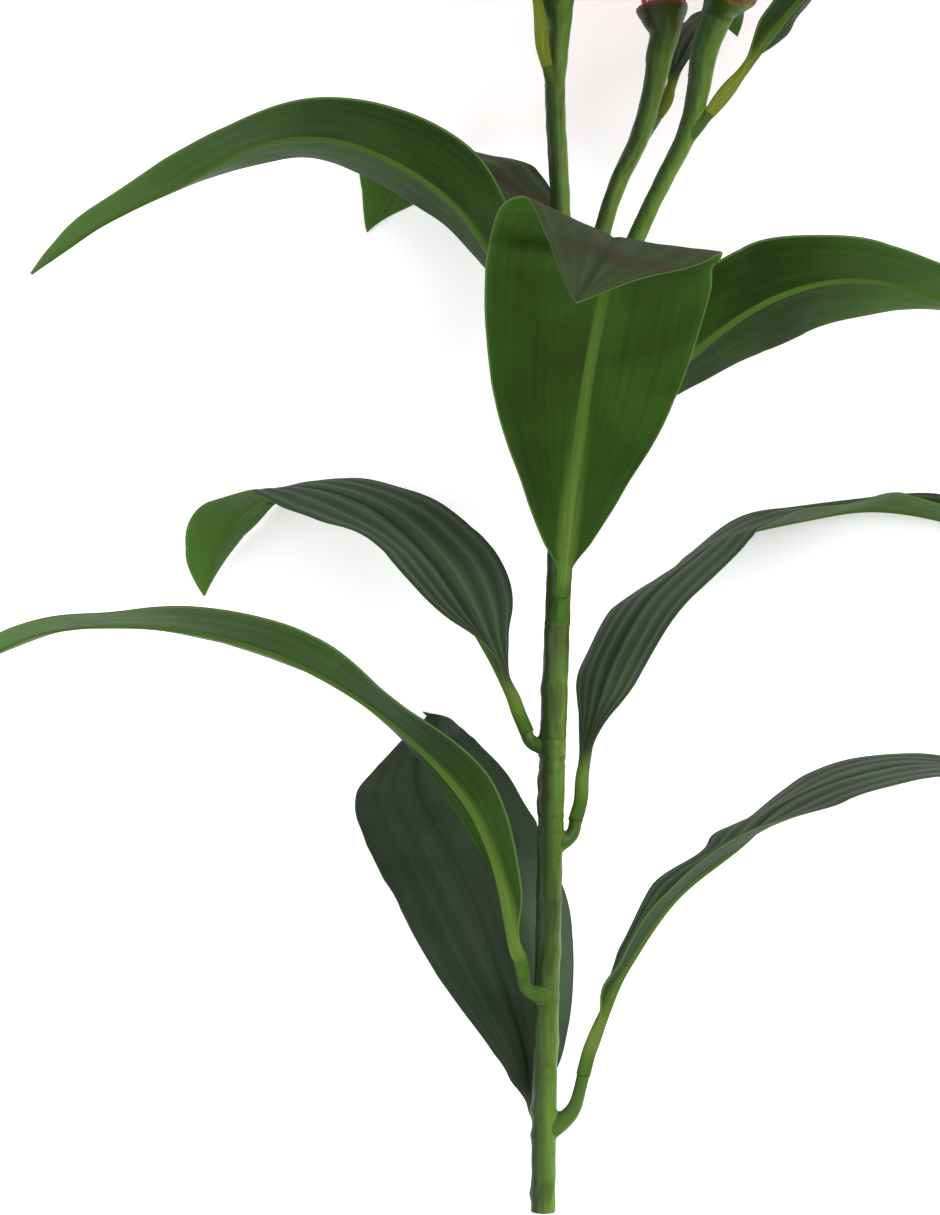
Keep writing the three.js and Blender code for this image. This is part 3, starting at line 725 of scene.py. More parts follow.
@dataclass(frozen=True)
class LeafFinish:
    """Satin leaf: mid green below with a raised yellow-green midrib, slate green above."""

    name: str
    seed: float = 0.0
    lower_dark: Colour = (25, 43, 14)
    lower_light: Colour = (47, 76, 25)
    lower_tip: Colour = (76, 113, 46)
    lower_brown: Colour = (44, 38, 16)
    upper_dark: Colour = (37, 49, 34)
    upper_light: Colour = (71, 87, 67)
    upper_brown: Colour = (54, 48, 34)
    olive: Colour = (50, 57, 28)
    # the tone of the painted sheen on one half near the foot
    pale: Colour = (98, 119, 94)
    deep: Colour = (20, 30, 22)
    midrib: Colour = (76, 104, 40)
    # the tone of the painted highlight along the leaf's edges
    margin: Colour = (88, 114, 58)
    foot: Colour = (110, 134, 59)
    twig: Colour = (60, 90, 34)
    brown: float = 0.45
    shade: float = 0.0
    ribbed: float = 1.0

    def material(self) -> bpy.types.Material:
        """Builds the material."""
        shader = Shader(self.name)
        along, across, upper, half, socket = shader.layers("along", "across", "upper", "breadth", "socket")
        from_middle, from_margin = abs(across) * half, (1.0 - abs(across)) * half
        lines = shader.vector(across * 7.0 + self.seed, along * 1.6, self.seed)
        streaks, hairlines = shader.noise(2.2, 3.0, lines), shader.noise(9.0, 2.0, lines)
        patches, specks = shader.noise(38.0, 2.0, warp=0.6), shader.noise(420.0, 2.0)
        browned = shader.noise(26.0, 3.0, warp=1.0).ramp(0.5, 0.72) * self.brown
        light = (patches * 0.85 + streaks * 0.35 + hairlines * 0.12 + specks * 0.12 - 0.3).ramp(0.1, 0.9)
        # painted highlight: lighter within 3 mm of the leaf's edges
        light = light + from_margin.ramp(3.0, 0.2) * 0.15
        rib = shader.blend(streaks, self.midrib, self.lower_light)
        below = shader.paint(
            shader.blend(light, self.lower_dark, self.lower_light),
            (along.ramp(0.35, 1.0) * (0.6 + light * 0.4), self.lower_tip),
            (browned * 0.6, self.lower_brown),
            (from_middle.ramp(1.6, 0.95) * along.ramp(1.0, 0.9), rib),
            # painted highlight: a pale line along the leaf's edges
            (from_margin.ramp(0.5, 0.22) * 0.65, self.margin),
        )
        # painted highlight on the crests of the upper face's ribs and painted shade in their furrows
        grooves = rib_turn(across).cosine()
        ribs = ((0.0 - grooves).ramp(0.7, 1.0) * 0.3 - grooves * 0.17) * min(self.ribbed, 1.0)
        bright = (ribs + patches * 0.7 + streaks * 0.45 - 0.08).ramp(0.0, 1.1)
        # painted sheen: one half near the foot turns pale where the painted shade gives way
        painted_sheen = across.ramp(0.1, 0.7) * along.ramp(0.55, 0.35)
        above = shader.paint(
            shader.blend(bright, self.upper_dark, self.upper_light),
            ((1.0 - painted_sheen) * self.shade, self.deep),
            (painted_sheen * self.shade, self.pale),
            (max(self.brown - 0.45, 0.0) * 2.2, self.olive),
            (browned * 1.3, self.upper_brown),
            # painted shade in the groove along the middle of the upper face
            (from_middle.ramp(1.2, 0.3) * 0.6, self.upper_dark),
        )
        worn = shader.blend(streaks, self.foot, self.lower_light)
        moulded = shader.blend(along.ramp(0.05, 0.015) * 0.9, worn, self.twig)
        colour = shader.paint(
            shader.blend(upper, below, above),
            (from_middle.ramp(3.2, 1.5) * along.ramp(0.4, 0.08) * (1.0 - upper) * 0.5, worn),
            (socket.ramp(0.25, 0.95) * (1.0 - 1.8 * self.shade), moulded),
            (specks.ramp(0.62, 0.8) * 0.25, self.lower_brown),
        )
        return shader.surface(
            Base_Color=colour,
            Roughness=0.38 + upper * 0.1 + patches * 0.14,
            Normal=shader.bump(hairlines * 0.3 + streaks * 0.5 + specks * 0.3, 0.1),
            IOR=1.36,
            Specular_IOR_Level=0.03,
        )


@dataclass(frozen=True)
class StemFinish:
    """Satin stem: olive on its shaded flank, yellow-green on the other, with darker blotches."""

    name: str
    shade: Colour = (32, 54, 17)
    sunny: Colour = (92, 125, 43)
    blotch: Colour = (38, 42, 17)
    twig: Colour = (54, 82, 29)
    # the tone of the painted shade and darker mottling by height
    dusk: Colour = (44, 54, 24)
    tan: Colour = (42, 34, 16)
    crimson: Colour = (150, 36, 62)
    flesh: Colour = (176, 190, 120)

    def material(self) -> bpy.types.Material:
        """Builds the material."""
        shader = Shader(self.name)
        flank, stalk, twig, cup = shader.layers("flank", "stalk", "twig", "cup")
        cut, ring, neck, dusk = shader.layers("cut", "ring", "neck", "dusk")
        x, y, z = shader.axes()
        fibres = shader.noise(1.0, 3.0, shader.vector(x * 900.0, y * 60.0, z * 900.0))
        blotches = shader.noise(150.0, 3.0, shader.vector(x, y * 0.45, z), warp=0.7)
        patches, specks = shader.noise(60.0, 2.0), shader.noise(900.0, 2.0)
        sun = (flank * 0.55 + fibres * 0.45 + patches * 0.4 - 0.04).ramp(0.0, 0.95)
        colour = shader.paint(
            shader.blend(sun, self.shade, self.sunny),
            # darker by height: painted shade where the leaves hang over the stem, broken up by darker
            # mottling
            (dusk * (patches + blotches * 0.6).ramp(0.35, 1.05), self.dusk),
            (blotches.ramp(0.5, 0.66) * 0.45, self.blotch),
            (twig * 0.7, self.twig),
            (ring * 0.15, self.blotch),
            (neck * (0.4 + patches * 0.7), self.tan),
            (cup * (0.6 + patches * 0.6), self.crimson),
            (cut, shader.blend(specks.ramp(0.45, 0.6), self.flesh, self.sunny)),
        )
        return shader.surface(
            Base_Color=colour,
            Roughness=0.26 + patches * 0.2 + cut * 0.35,
            Normal=shader.bump(fibres * 0.8 + blotches * 0.6 + specks * 0.2, 0.16),
            IOR=1.45,
            Specular_IOR_Level=0.14,
            Coat_Weight=0.12 - (stalk + twig) * 0.1,
            Coat_Roughness=0.2,
        )


@dataclass(frozen=True)
class TepalFinish:
    """Velvety tepal: crimson along its middle, pink outwards, nearly white at its wavy margin."""

    name: str
    whorl: Whorl
    heart: Colour = (176, 18, 66)
    body: Colour = (222, 74, 128)
    edge: Colour = (250, 214, 224)
    throat: Colour = (150, 176, 70)
    spot: Colour = (112, 8, 40)
    back: Colour = (206, 84, 128)
    keel: Colour = (128, 148, 76)
    base: Colour = (158, 26, 62)

    def material(self) -> bpy.types.Material:
        """Builds the material."""
        shader = Shader(self.name)
        along, across, upper, half = shader.layers("along", "across", "upper", "breadth")
        wide, near = abs(across), abs(across) * half
        veins = shader.noise(1.6, 3.0, shader.vector(across * half * 0.9, along * 3.0, 0.0))
        cloud, specks = shader.noise(70.0, 3.0, warp=0.5), shader.noise(700.0, 2.0)
        out = wide + (veins - 0.5) * 0.5 + (cloud - 0.5) * 0.3
        spots = shader.dots(shader.vector(across * half * 0.42, along * 26.0, 0.0)).ramp(0.34, 0.2)
        spotted = along.ramp(0.66, 0.45) * along.ramp(0.1, 0.2) * wide.ramp(0.92, 0.6)
        inside = shader.paint(
            shader.blend(out.ramp(0.05, 0.72), self.heart, self.body),
            (out.ramp(0.55, 1.02), self.edge),
            (along.ramp(0.86, 1.0) * 0.5, self.edge),
            (spots * spotted * 0.9, self.spot),
            (near.ramp(1.7, 0.7) * along.ramp(0.42, 0.12), self.throat),
        )
        stripe = 0.85 if self.whorl is Whorl.OUTER else 0.6
        behind = shader.paint(
            shader.blend(out.ramp(0.1, 0.9), self.back, self.edge),
            (near.ramp(3.2, 0.9) * along.ramp(0.95, 0.3) * stripe, self.keel),
            (along.ramp(0.3, 0.04) * (0.5 + cloud * 0.7), self.base),
        )
        return shader.surface(
            Base_Color=shader.blend(upper, behind, inside),
            Roughness=0.5 + cloud * 0.16,
            Normal=shader.bump(veins * 0.9 + specks * 0.2, 0.16),
            IOR=1.42,
            Specular_IOR_Level=0.35,
            Sheen_Weight=0.12,
            Sheen_Roughness=0.5,
        )


@dataclass(frozen=True)
class PlainFinish:
    """A small part in two tones of colour, with soft patches and a fine grain."""

    name: str
    dark: Colour
    light: Colour
    patch: float = 300.0
    grain: float = 1500.0
    depth: float = 0.08
    roughness: float = 0.5
    coat: float = 0.0

    def material(self) -> bpy.types.Material:
        """Builds the material."""
        shader = Shader(self.name)
        patches = shader.noise(self.patch, 3.0, warp=0.4)
        grain = shader.noise(self.grain, 2.0)
        share = (patches * 1.2 + grain * 0.4 - 0.3).ramp(0.1, 0.9)
        return shader.surface(
            Base_Color=shader.blend(share, self.dark, self.light),
            Roughness=self.roughness + (patches - 0.5) * 0.2,
            Normal=shader.bump(grain + patches * 0.6, self.depth),
            IOR=1.45,
            Specular_IOR_Level=0.4,
            Coat_Weight=self.coat,
        )


@dataclass(frozen=True)
class BudFinish:
    """A ripening bud: green at its foot and along its ridges, flushed pink towards its tip."""

    name: str
    green: Colour = (128, 142, 64)
    pale: Colour = (186, 184, 112)
    pink: Colour = (206, 88, 118)
    seam: Colour = (96, 84, 44)

    def material(self) -> bpy.types.Material:
        """Builds the material."""
        shader = Shader(self.name)
        along, ridge, seam, turn = shader.layers("along", "ridge", "seam", "turn")
        veins = shader.noise(1.0, 3.0, shader.vector(turn * 5.0, along * 5.0, 0.0))
        cloud = shader.noise(90.0, 3.0, warp=0.5)
        flush = (along * 1.15 + (cloud - 0.5) * 0.9 + (veins - 0.5) * 0.5 - ridge * 0.3).ramp(0.3, 1.05)
        colour = shader.paint(
            shader.blend((veins + cloud * 0.6 - 0.3).ramp(0.1, 0.8), self.green, self.pale),
            (flush * 0.85, self.pink),
            (seam * 0.65, self.seam),
        )
        return shader.surface(
            Base_Color=colour,
            Roughness=0.38 + cloud * 0.16,
            Normal=shader.bump(veins + cloud * 0.3, 0.18),
            IOR=1.45,
            Specular_IOR_Level=0.4,
        )


@dataclass(frozen=True)
class FloorFinish:
    """The pale matt floor, which glows a little so that it stays white."""

    name: str
    light: Colour = (248.0, 248.0, 248.0)
    # the faint painted shadow's tone
    dark: Colour = (246.4, 246.4, 246.4)
    glow: float = 0.3

    def material(self) -> bpy.types.Material:
        """Builds the material."""
        shader = Shader(self.name)
        # soft clouds of faint painted shadow over the floor
        colour = shader.blend(shader.noise(6.0, 2.0), self.light, self.dark)
        return shader.surface(
            Base_Color=colour,
            Emission_Color=colour,
            Emission_Strength=self.glow,
            Roughness=0.8,
            Specular_IOR_Level=0.1,
        )


# The stem


@dataclass
class Stem:
    """The stem, its three stalks and the twigs of the leaves, moulded in one piece.

    A row of the cup is a distance below the flower's seat and a share of its radius, a row of the
    darkening by height is a height and how dark the stem is there, from painted shade under the
    leaves and from darker mottling, a joint's row is its height, depth and width, and a bump's is
    its side, height, rise and width.
    """

    BLOCK = 4000  # points that are measured at once

    bench: Workbench
    path: Sequence[Row]
    stalks: dict[str, Sequence[Row]]
    seats: dict[str, tuple[Row, Row, float]]
    twigs: dict[str, tuple[Sequence[Row], float]]
    sides: int = 40
    voxel: float = 0.42
    cup: Sequence[Row] = ((6.5, 0.57), (3, 0.79), (1, 0.95), (0, 0.99))
    twig_share: float = 0.94
    # heights where the stem is darker, from painted shade under the leaves and darker mottling
    dusk: Sequence[Row] = (
        (0, 0), (30, 0.1), (55, 0.55), (72, 0.8), (88, 0.4), (100, 0.05), (117, 0.2), (128, 0.9),
        (150, 1), (175, 0.5), (200, 0),
    )
    blush: dict[str, float] = field(default_factory=lambda: {"half": 1.0, "open": 0.35, "bud": 0.1})
    joints: Sequence[Row] = (
        (104.4, 0.11, 0.9), (99.6, 0.143, 0.8), (97.4, 0.088, 0.7), (86.9, 0.121, 0.8),
        (83.8, 0.099, 0.8), (67.8, 0.11, 1), (47, 0.066, 0.8), (30, 0.055, 0.7), (129, 0.077, 0.8),
        (166, 0.066, 0.8),
    )
    bumps: Sequence[Row] = (
        (-1, 115, 0.35, 1.6), (-1, 103, 0.4, 1.5), (-1, 95.2, 0.4, 1.8), (-1, 90.6, 0.35, 1.8),
        (-1, 22.6, 0.35, 1.6), (-1, 17.2, 0.3, 1.2), (-1, 4.2, 0.35, 1.3), (1, 58, 0.2, 2.5),
        (1, 38, 0.2, 2),
    )
    blush_depth: float = 1.1
    seat_reach: float = 16.0

    def build(self) -> None:
        """Builds and dresses the stem."""
        finish = StemFinish("stem_satin").material()
        rods = [self._rod(self.path)]
        rods += [self._rod(self._stalk(kind)) for kind in self.stalks]
        rods += [self._twig(*twig) for twig in self.twigs.values()]
        stem = TubeGrowth("stem_tubes", self.sides, finish).tubes(self.bench, "stem_body", rods)
        for kind, settings in (
            ("REMESH", {"mode": "VOXEL", "voxel_size": self.voxel / METRE}),
            ("SMOOTH", {"factor": 0.5, "iterations": 3}),
        ):
            modifier = stem.modifiers.new(kind, kind)
            for name, value in settings.items():
                setattr(modifier, name, value)
        self.bench.settle(stem)
        stem.data.materials.clear()
        stem.data.materials.append(finish)
        stem.data.polygons.foreach_set("use_smooth", [True] * len(stem.data.polygons))
        self._carve(stem, rods)
        specks = PlainFinish("stem_specks", (40, 34, 18), (84, 74, 34), roughness=0.6).material()
        growth = ScatterGrowth("stem_warts", "wart", 0.55, (0.08, 0.2), 0.7, 11, specks)
        warts = growth.over(stem, "stem_warts")
        self.bench.hand_over(self.bench.merged("stem_body", [stem, warts]), "stem", "stem")

    def _rod(self, rows: Sequence[Row]) -> tuple[Numbers, Numbers]:
        """Samples one rod's path and its radii."""
        curve = SpaceCurve([row[:3] for row in rows])
        share = np.linspace(0.0, 1.0, max(int(curve.length), 12))
        return curve.place(share), curve.value([row[3] for row in rows], share)

    def _stalk(self, kind: str) -> list[Row]:
        """Leads a stalk on into its flower's seat, which it widens to as a cup."""
        seat, axis, radius = self.seats[kind]
        way = unit(np.array(axis, float))
        return [*self.stalks[kind], *((*(seat - way * back), radius * share) for back, share in self.cup)]

    def _twig(self, points: Sequence[Row], radius: float) -> tuple[Numbers, Numbers]:
        """Samples a leaf's twig, thinner than the leaf's round foot."""
        curve = SpaceCurve(points)
        share = np.linspace(0.0, 1.0, 20)
        return curve.place(share), radius * mix(1.3, self.twig_share, smoothstep(share, 0.1, 0.75))

    def _carve(self, stem: bpy.types.Object, rods: Sequence[tuple[Numbers, Numbers]]) -> None:
        """Gives the smooth rods their joints, bumps and flutes, and the layers of the finish.

        Args:
            stem: The joined rods.
            rods: Each rod's points and radii: the stem's, the stalks' and the twigs'.
        """
        points, normals = self.bench.points_of(stem)
        axis = np.vstack([path for path, _ in rods])
        radii = np.concatenate([radius for _, radius in rods])
        nearest = self._nearest(points, axis, radii)
        own = np.concatenate([np.full(len(path), i) for i, (path, _) in enumerate(rods)])[nearest]
        main, twig = (own == 0).astype(float), (own > len(self.stalks)).astype(float)
        stalk = 1.0 - main - twig
        spoke, height = points - axis[nearest], points[:, 1]
        flank = np.clip(spoke[:, 0] / radii[nearest], -1, 1)
        push, ring = self._marks(main, height, np.arctan2(spoke[:, 2], spoke[:, 0]), flank)
        cut = (normals[:, 1] < -0.8) & (height < 0.5)
        self.bench.set_points(stem, points + normals * (push * ~cut)[:, None])
        cup, neck = self._tints(points)
        layers = {
            "flank": flank, "stalk": stalk, "twig": twig, "cup": cup, "ring": ring, "neck": neck,
            "cut": cut.astype(float), "dusk": main * np.interp(height, *np.array(self.dusk).T),
            "wart": stalk * smoothstep(-flank, -0.2, 0.7) * smoothstep(height, 215, 240) + main * 0.05,
        }
        for name, values in layers.items():
            self.bench.set_layer(stem, name, values)

    def _nearest(self, points: Numbers, axis: Numbers, radii: Numbers) -> Numbers:
        """Finds the place on the rods' axes that each point belongs to, measured in rods' radii."""
        nearest = np.empty(len(points), int)
        for start in range(0, len(points), self.BLOCK):
            block = slice(start, start + self.BLOCK)
            apart = np.linalg.norm(points[block, None] - axis[None], axis=2)
            nearest[block] = np.argmin(apart / radii[None], axis=1)
        return nearest

    def _marks(
        self, main: Numbers, height: Numbers, around: Numbers, flank: Numbers
    ) -> tuple[Numbers, Numbers]:
        """Works out the joints, bumps and flutes.

        Args:
            main: 1 on the stem itself and 0 on stalks and twigs.
            height: How far up the stem each point lies.
            around: Its angle round its rod.
            flank: How far right on its rod it lies, from -1 to 1.

        Returns:
            How far each point is pushed out, and where the joints' rings lie.
        """
        push, ring = np.zeros_like(height), np.zeros_like(height)
        for level, depth, width in self.joints:
            away = height - level - 0.35 * np.sin(around + level)
            push += main * depth * (0.8 * bell(away - width, width) - bell(away, width * 0.45))
            ring += main * bell(away, width * 0.6)
        for side, level, rise, width in self.bumps:
            push += main * rise * bell(height - level, width) * np.clip(side * flank, 0, 1) ** 2
        push += 0.05 * np.sin(around * 7 + height * 0.05) * np.cos(height * 0.31 + around)
        push += 0.07 * np.sin(height * 0.9 + 3 * around) * np.sin(height * 0.23 + around * 2)
        groove = bell(around + 0.35, 0.12) * smoothstep(height, 30, 36) * smoothstep(68 - height, 0, 4)
        return push - 0.16 * main * groove, ring

    def _tints(self, points: Numbers) -> tuple[Numbers, Numbers]:
        """Works out how much each point has of the flowers' crimson, and of the tan below it."""
        cup, neck = np.zeros(len(points)), np.zeros(len(points))
        for kind, (seat, way, _) in self.seats.items():
            back = (np.array(seat) - points) @ unit(np.array(way, float))
            near = self.blush[kind] * (np.linalg.norm(points - np.array(seat), axis=1) < self.seat_reach)
            cup = np.maximum(cup, near * smoothstep(self.blush_depth - back, 0.0, self.blush_depth))
            neck = np.maximum(neck, near * self.blush[kind] * smoothstep(12 - back, 0.0, 9.0))
        return cup, neck


# Leaves


@dataclass(frozen=True)
class LeafShape:
    """One leaf's measures. A trim's row is a share along the blade, and how much wider its left
    and its right half are there."""

    twig: Sequence[Row]
    spine: Sequence[Row]
    width: float
    foot: float
    radius: float = 1.55
    widest: float = 0.46
    foot_power: float = 1.0
    tip_power: float = 0.85
    trim: Sequence[Row] = ((0, 1, 1), (1, 1, 1))
    seed: float = 0.0
    brown: float = 0.45
    shade: float = 0.0
    ribbed: float = 1.0

    @property
    def bract(self) -> bool:
        """Returns whether it is one of the small leaves under the flowers."""
        return self.width < BRACT_WIDTH


@dataclass
class Leaf:
    """A long leaf or a bract on its twig."""

    bench: Workbench
    name: str
    shape: LeafShape
    thickness: float = 0.8
    keel: float = 0.75
    rib_depth: float = 0.13
    groove: float = 0.4
    wave: float = 0.9
    waves: float = 2.5
    shift: float = 1.7
    flutter: float = 0.22
    crease: float = 0.05
    sleeve: float = 1.02
    lip: float = 0.02
    stations: int = 120
    columns: int = 37
    fine_columns: Row = (0.97, 0.99, 0.012, 0.03, 0.05, 0.075)

    def build(self) -> None:
        """Builds and dresses the leaf."""
        shape = self.shape
        before, end = np.array(shape.twig[-2]), np.array(shape.twig[-1])
        way = unit(end - before)
        lead = [(*(end + way * far), *shape.spine[0][3:]) for far in (-SLEEVE_OVERLAP, SOCKET_LEAD)]
        blade = Blade(
            spine=[*lead, *shape.spine],
            up=ALONG,
            foot=shape.foot + SLEEVE_OVERLAP,
            radius=shape.radius * self.sleeve,
            thickness=self.thickness,
            stations=self.stations,
            columns=columns_of(self.columns, self.fine_columns),
            breadth=self._breadth,
            rise=self._rise,
            relief=self._relief,
            lip=self.lip,
            swell=BRACT_SWELL if shape.bract else 0.0,
        )
        looks = {look: getattr(shape, look) for look in ("seed", "brown", "shade", "ribbed")}
        finish = LeafFinish(f"{self.name}_satin", **looks, **(BRACT_TONES if shape.bract else {}))
        leaf = self.bench.object_of(f"{self.name}_blade", blade.shell(), finish.material())
        self.bench.hand_over(leaf, self.name, "leaf")

    def _breadth(self, blade: Numbers, v: Numbers) -> Numbers:
        """Gives the half width on either side of the midrib."""
        shape = self.shape
        grown = shape.width / 2 * outline(blade, shape.widest, shape.foot_power, shape.tip_power)
        at, left, right = np.array(shape.trim, float).T
        return grown * np.where(v < 0, np.interp(blade, at, left), np.interp(blade, at, right))

    def _rise(self, blade: Numbers, v: Numbers, half: Numbers, fold: Numbers) -> tuple[Numbers, Numbers]:
        """Folds the halves up and lets their edges wave.

        Args:
            blade: Where along the blade.
            v: Where across it, from -1 to 1.
            half: The half width there.
            fold: How far the halves fold up, in radians.

        Returns:
            How far out a point lies, and how far it stands above the spine's plane.
        """
        phase = 2 * np.pi * self.waves * blade + np.where(v > 0, 0.0, self.shift)
        flutter = self.flutter * v**4 * np.sin(phase * 2.7 + self.shape.seed)
        ripple = self.wave * v * v * np.sin(phase) + flutter
        ripple = ripple * np.minimum(2 * half / self.shape.width, 1)
        soft = np.sqrt(v * v + self.crease**2) - self.crease
        return v * half * np.cos(fold), soft * half * np.sin(fold) + ripple

    def _relief(self, blade: Numbers, v: Numbers, half: Numbers, face: Face) -> Numbers:
        """Gives the ribs and groove of the upper face, and the midrib and veins of the lower.

        Args:
            blade: Where along the blade.
            v: Where across it, from -1 to 1.
            half: The half width there.
            face: Which face.

        Returns:
            How far the face stands out.
        """
        near = np.abs(v) * half
        fade = smoothstep(blade, 0.02, 0.2) * smoothstep(1 - blade, 0.0, 0.16)
        wide = np.minimum(half / 10, 1)
        ribs = -np.cos(rib_turn(v)) * (1 - v**4) * fade * wide * self.shape.ribbed
        if face is Face.UPPER:
            return self.rib_depth * ribs - self.groove * bell(near, 0.8) * smoothstep(half, 1.5, 5)
        rib = mix(1.25, 0.6, blade)
        ridge = self.keel * mix(1.0, 0.3, blade) * (1 - smoothstep(near / rib, 0.25, 1.15))
        return ridge * smoothstep(1 - blade, 0, 0.06) - 0.3 * self.rib_depth * ribs


# Blooms


@dataclass(frozen=True)
class BloomShape:
    """One bloom's measures. Its profile, filaments' end and style's end are given as distance
    from its axis and height above its seat."""

    seat: Row
    axis: Row
    spin: float
    profile: Sequence[Row]
    inner_width: float
    outer_width: float
    flare: float
    filament_end: Row
    style_end: Row
    seat_radius: float = 6.0


class BloomFrame:
    """A bloom's own frame: its seat, +Y along its axis, and its turn about that axis."""

    def __init__(self, seat: Row, axis: Row, spin: float = 0.0) -> None:
        """Works out the frame from the seat, the way the bloom faces and its turn in degrees."""
        way = unit(np.array(axis, float))
        cross = np.cross(ALONG, way)
        skew = np.array([[0, -cross[2], cross[1]], [cross[2], 0, -cross[0]], [-cross[1], cross[0], 0]])
        tilt = np.eye(3) + skew + skew @ skew / (1 + ALONG @ way)
        self.seat, self.turn = np.array(seat, float), tilt @ self.twirl(spin)

    @staticmethod
    def twirl(degrees: float) -> Numbers:
        """Returns the turn about +Y."""
        c, s = math.cos(math.radians(degrees)), math.sin(math.radians(degrees))
        return np.array([[c, 0, s], [0, 1, 0], [-s, 0, c]])

    def at(self, azimuth: float, points: Numbers) -> Numbers:
        """Places points given as distance from the axis, height and sideways distance, turned about it."""
        return np.asarray(points, float) @ (self.turn @ self.twirl(azimuth)).T + self.seat


@dataclass
class Bloom:
    """Six tepals in two whorls, six stamens on a disc, and the pistil."""

    bench: Workbench
    kind: Kind
    shape: BloomShape
    thickness: float = 0.8
    gap: Row = (1.3, 3.2)
    fit: float = 0.3
    sector: float = 0.86
    outline: Row = (0.6, 0.8, 0.62)
    foot_half: dict[Whorl, float] = field(default_factory=lambda: {Whorl.INNER: 1.6, Whorl.OUTER: 2.0})
    foot_end: float = 1 / 6
    arch: float = 60.0
    waves: float = 3.5
    shift: float = 1.3
    stations: int = 84
    columns: int = 37
    fine_columns: Row = (0.97, 0.99, 0.02, 0.05, 0.08)
    foot_radius: float = 0.4
    rim: float = 0.36
    disc_radius: float = 2.9
    disc_height: float = 1.6
    disc_route: Sequence[Row] = ((0, 0.92), (0.04, 0.98), (0.3, 1.0), (0.8, 0.97), (1.0, 0.8))
    filament_radius: float = 0.65
    filament_route: Sequence[Row] = ((0, 0.25), (0.35, 0.6), (0.72, 0.85), (1, 1))
    anther_length: float = 11.0
    anther_radius: float = 1.5
    anther_tilt: float = 62.0
    anther_lift: float = 0.6
    ovary_radius: float = 1.35
    ovary_length: float = 17.0
    style_radius: float = 0.8
    style_route: Sequence[Row] = ((0.05, 0.5), (0.4, 0.78), (1, 1))
    style_azimuth: float = 200.0
    stigma_radius: float = 2.3
    stigma_height: float = 2.4

    def build(self) -> None:
        """Builds and dresses the whole bloom."""
        self.frame = BloomFrame(self.shape.seat, self.shape.axis, self.shape.spin)
        self.name = f"{self.kind.value}_bloom"
        for whorl in Whorl:
            finish = TepalFinish(f"{self.name}_{whorl.value}_velvet", whorl).material()
            for number in range(3):
                self._tepal(whorl, number, finish)
        self._stamens()
        self._pistil()

    def _profile(self, whorl: Whorl) -> Numbers:
        """Returns a tepal's spine as distance from the axis and height."""
        rows = np.array(self.shape.profile, float)
        share = np.linspace(0, 1, len(rows))
        gap = mix(*self.gap, share) if whorl is Whorl.OUTER else 0 * share
        out, height = rows[:, 0] + gap * (1 - 0.6 * share), rows[:, 1] - gap * share + self.fit
        return np.stack([out, height, 0 * out], axis=1)

    def _tepal(self, whorl: Whorl, number: int, finish: bpy.types.Material) -> None:
        """Builds one tepal.

        Args:
            whorl: Its whorl.
            number: Its number there, from 0.
            finish: Its material.
        """
        profile, foot, outer = self._profile(whorl), self.foot_half[whorl], whorl is Whorl.OUTER
        side = SpaceCurve(profile)
        half = (self.shape.outer_width if outer else self.shape.inner_width) / 2
        seed = number * 2.1 + outer + 5.0 * (self.kind is Kind.HALF)

        def breadth(blade: Numbers, v: Numbers) -> Numbers:
            """Keeps the tepal to its own third of the bloom's girth."""
            grown = half * outline(blade, *self.outline)
            room = self.sector * np.pi * side.place(blade[:, 0])[:, :1] / 3
            kept = grown / (1 + (grown / room) ** 4) ** 0.25
            return (kept + foot * np.maximum(1 - blade / self.foot_end, 0)) * np.ones_like(v)

        def rise(blade: Numbers, v: Numbers, w: Numbers, fold: Numbers) -> tuple[Numbers, Numbers]:
            """Curves it round the bloom's axis low down, and arches and waves it further out."""
            girth = side.direction(blade[:, 0])[:, 1:2] / side.place(blade[:, 0])[:, :1]
            bend = mix(girth, -1 / self.arch, smoothstep(blade, self.shape.flare, 1))
            arc = v * w * bend
            phase = 2 * np.pi * self.waves * blade + np.where(v > 0, 0, self.shift)
            frill = 0.35 * v**6 * np.sin(phase * 3.1 + seed) + 0.2 * v**8 * np.sin(phase * 7.3 + 2 * seed)
            ripple = (v * v * np.sin(phase) + frill) * smoothstep(blade, 0.5, 0.8)
            flat = np.abs(bend) < 1e-4
            safe = np.where(flat, 1.0, bend)
            out = np.where(flat, v * w, np.sin(arc) / safe)
            return out, np.where(flat, 0.0, (1 - np.cos(arc)) / safe) + ripple

        blade = Blade(
            spine=[(*point, 0.0, 0.0) for point in self.frame.at(number * 120 + 60 * outer, profile)],
            up=self.frame.turn @ ALONG,
            foot=0.01,
            radius=self.foot_radius,
            thickness=self.thickness,
            stations=self.stations,
            columns=columns_of(self.columns, self.fine_columns),
            breadth=breadth,
            rise=rise,
            relief=self._relief,
            rim=self.rim,
        )
        shell = blade.shell()
        shell.layers["papilla"] = self._rough(**shell.layers)
        part = f"{whorl.value}_tepal_{number + 1}"
        name = f"{self.name}_{part}"
        tepal = self.bench.object_of(f"{name}_blade", shell, finish)
        tone = self._plain(f"{part}_papillae", (120, 10, 46), (190, 40, 84), roughness=0.45)
        density = 0.08 if outer else 0.16
        growth = ScatterGrowth(f"{name}_growth", "papilla", density, (0.16, 0.3), 1.5, number + 3, tone, True)
        tepal = self.bench.merged(f"{name}_blade", [tepal, growth.over(tepal, f"{name}_papillae")])
        self.bench.hand_over(tepal, name, "tepal")

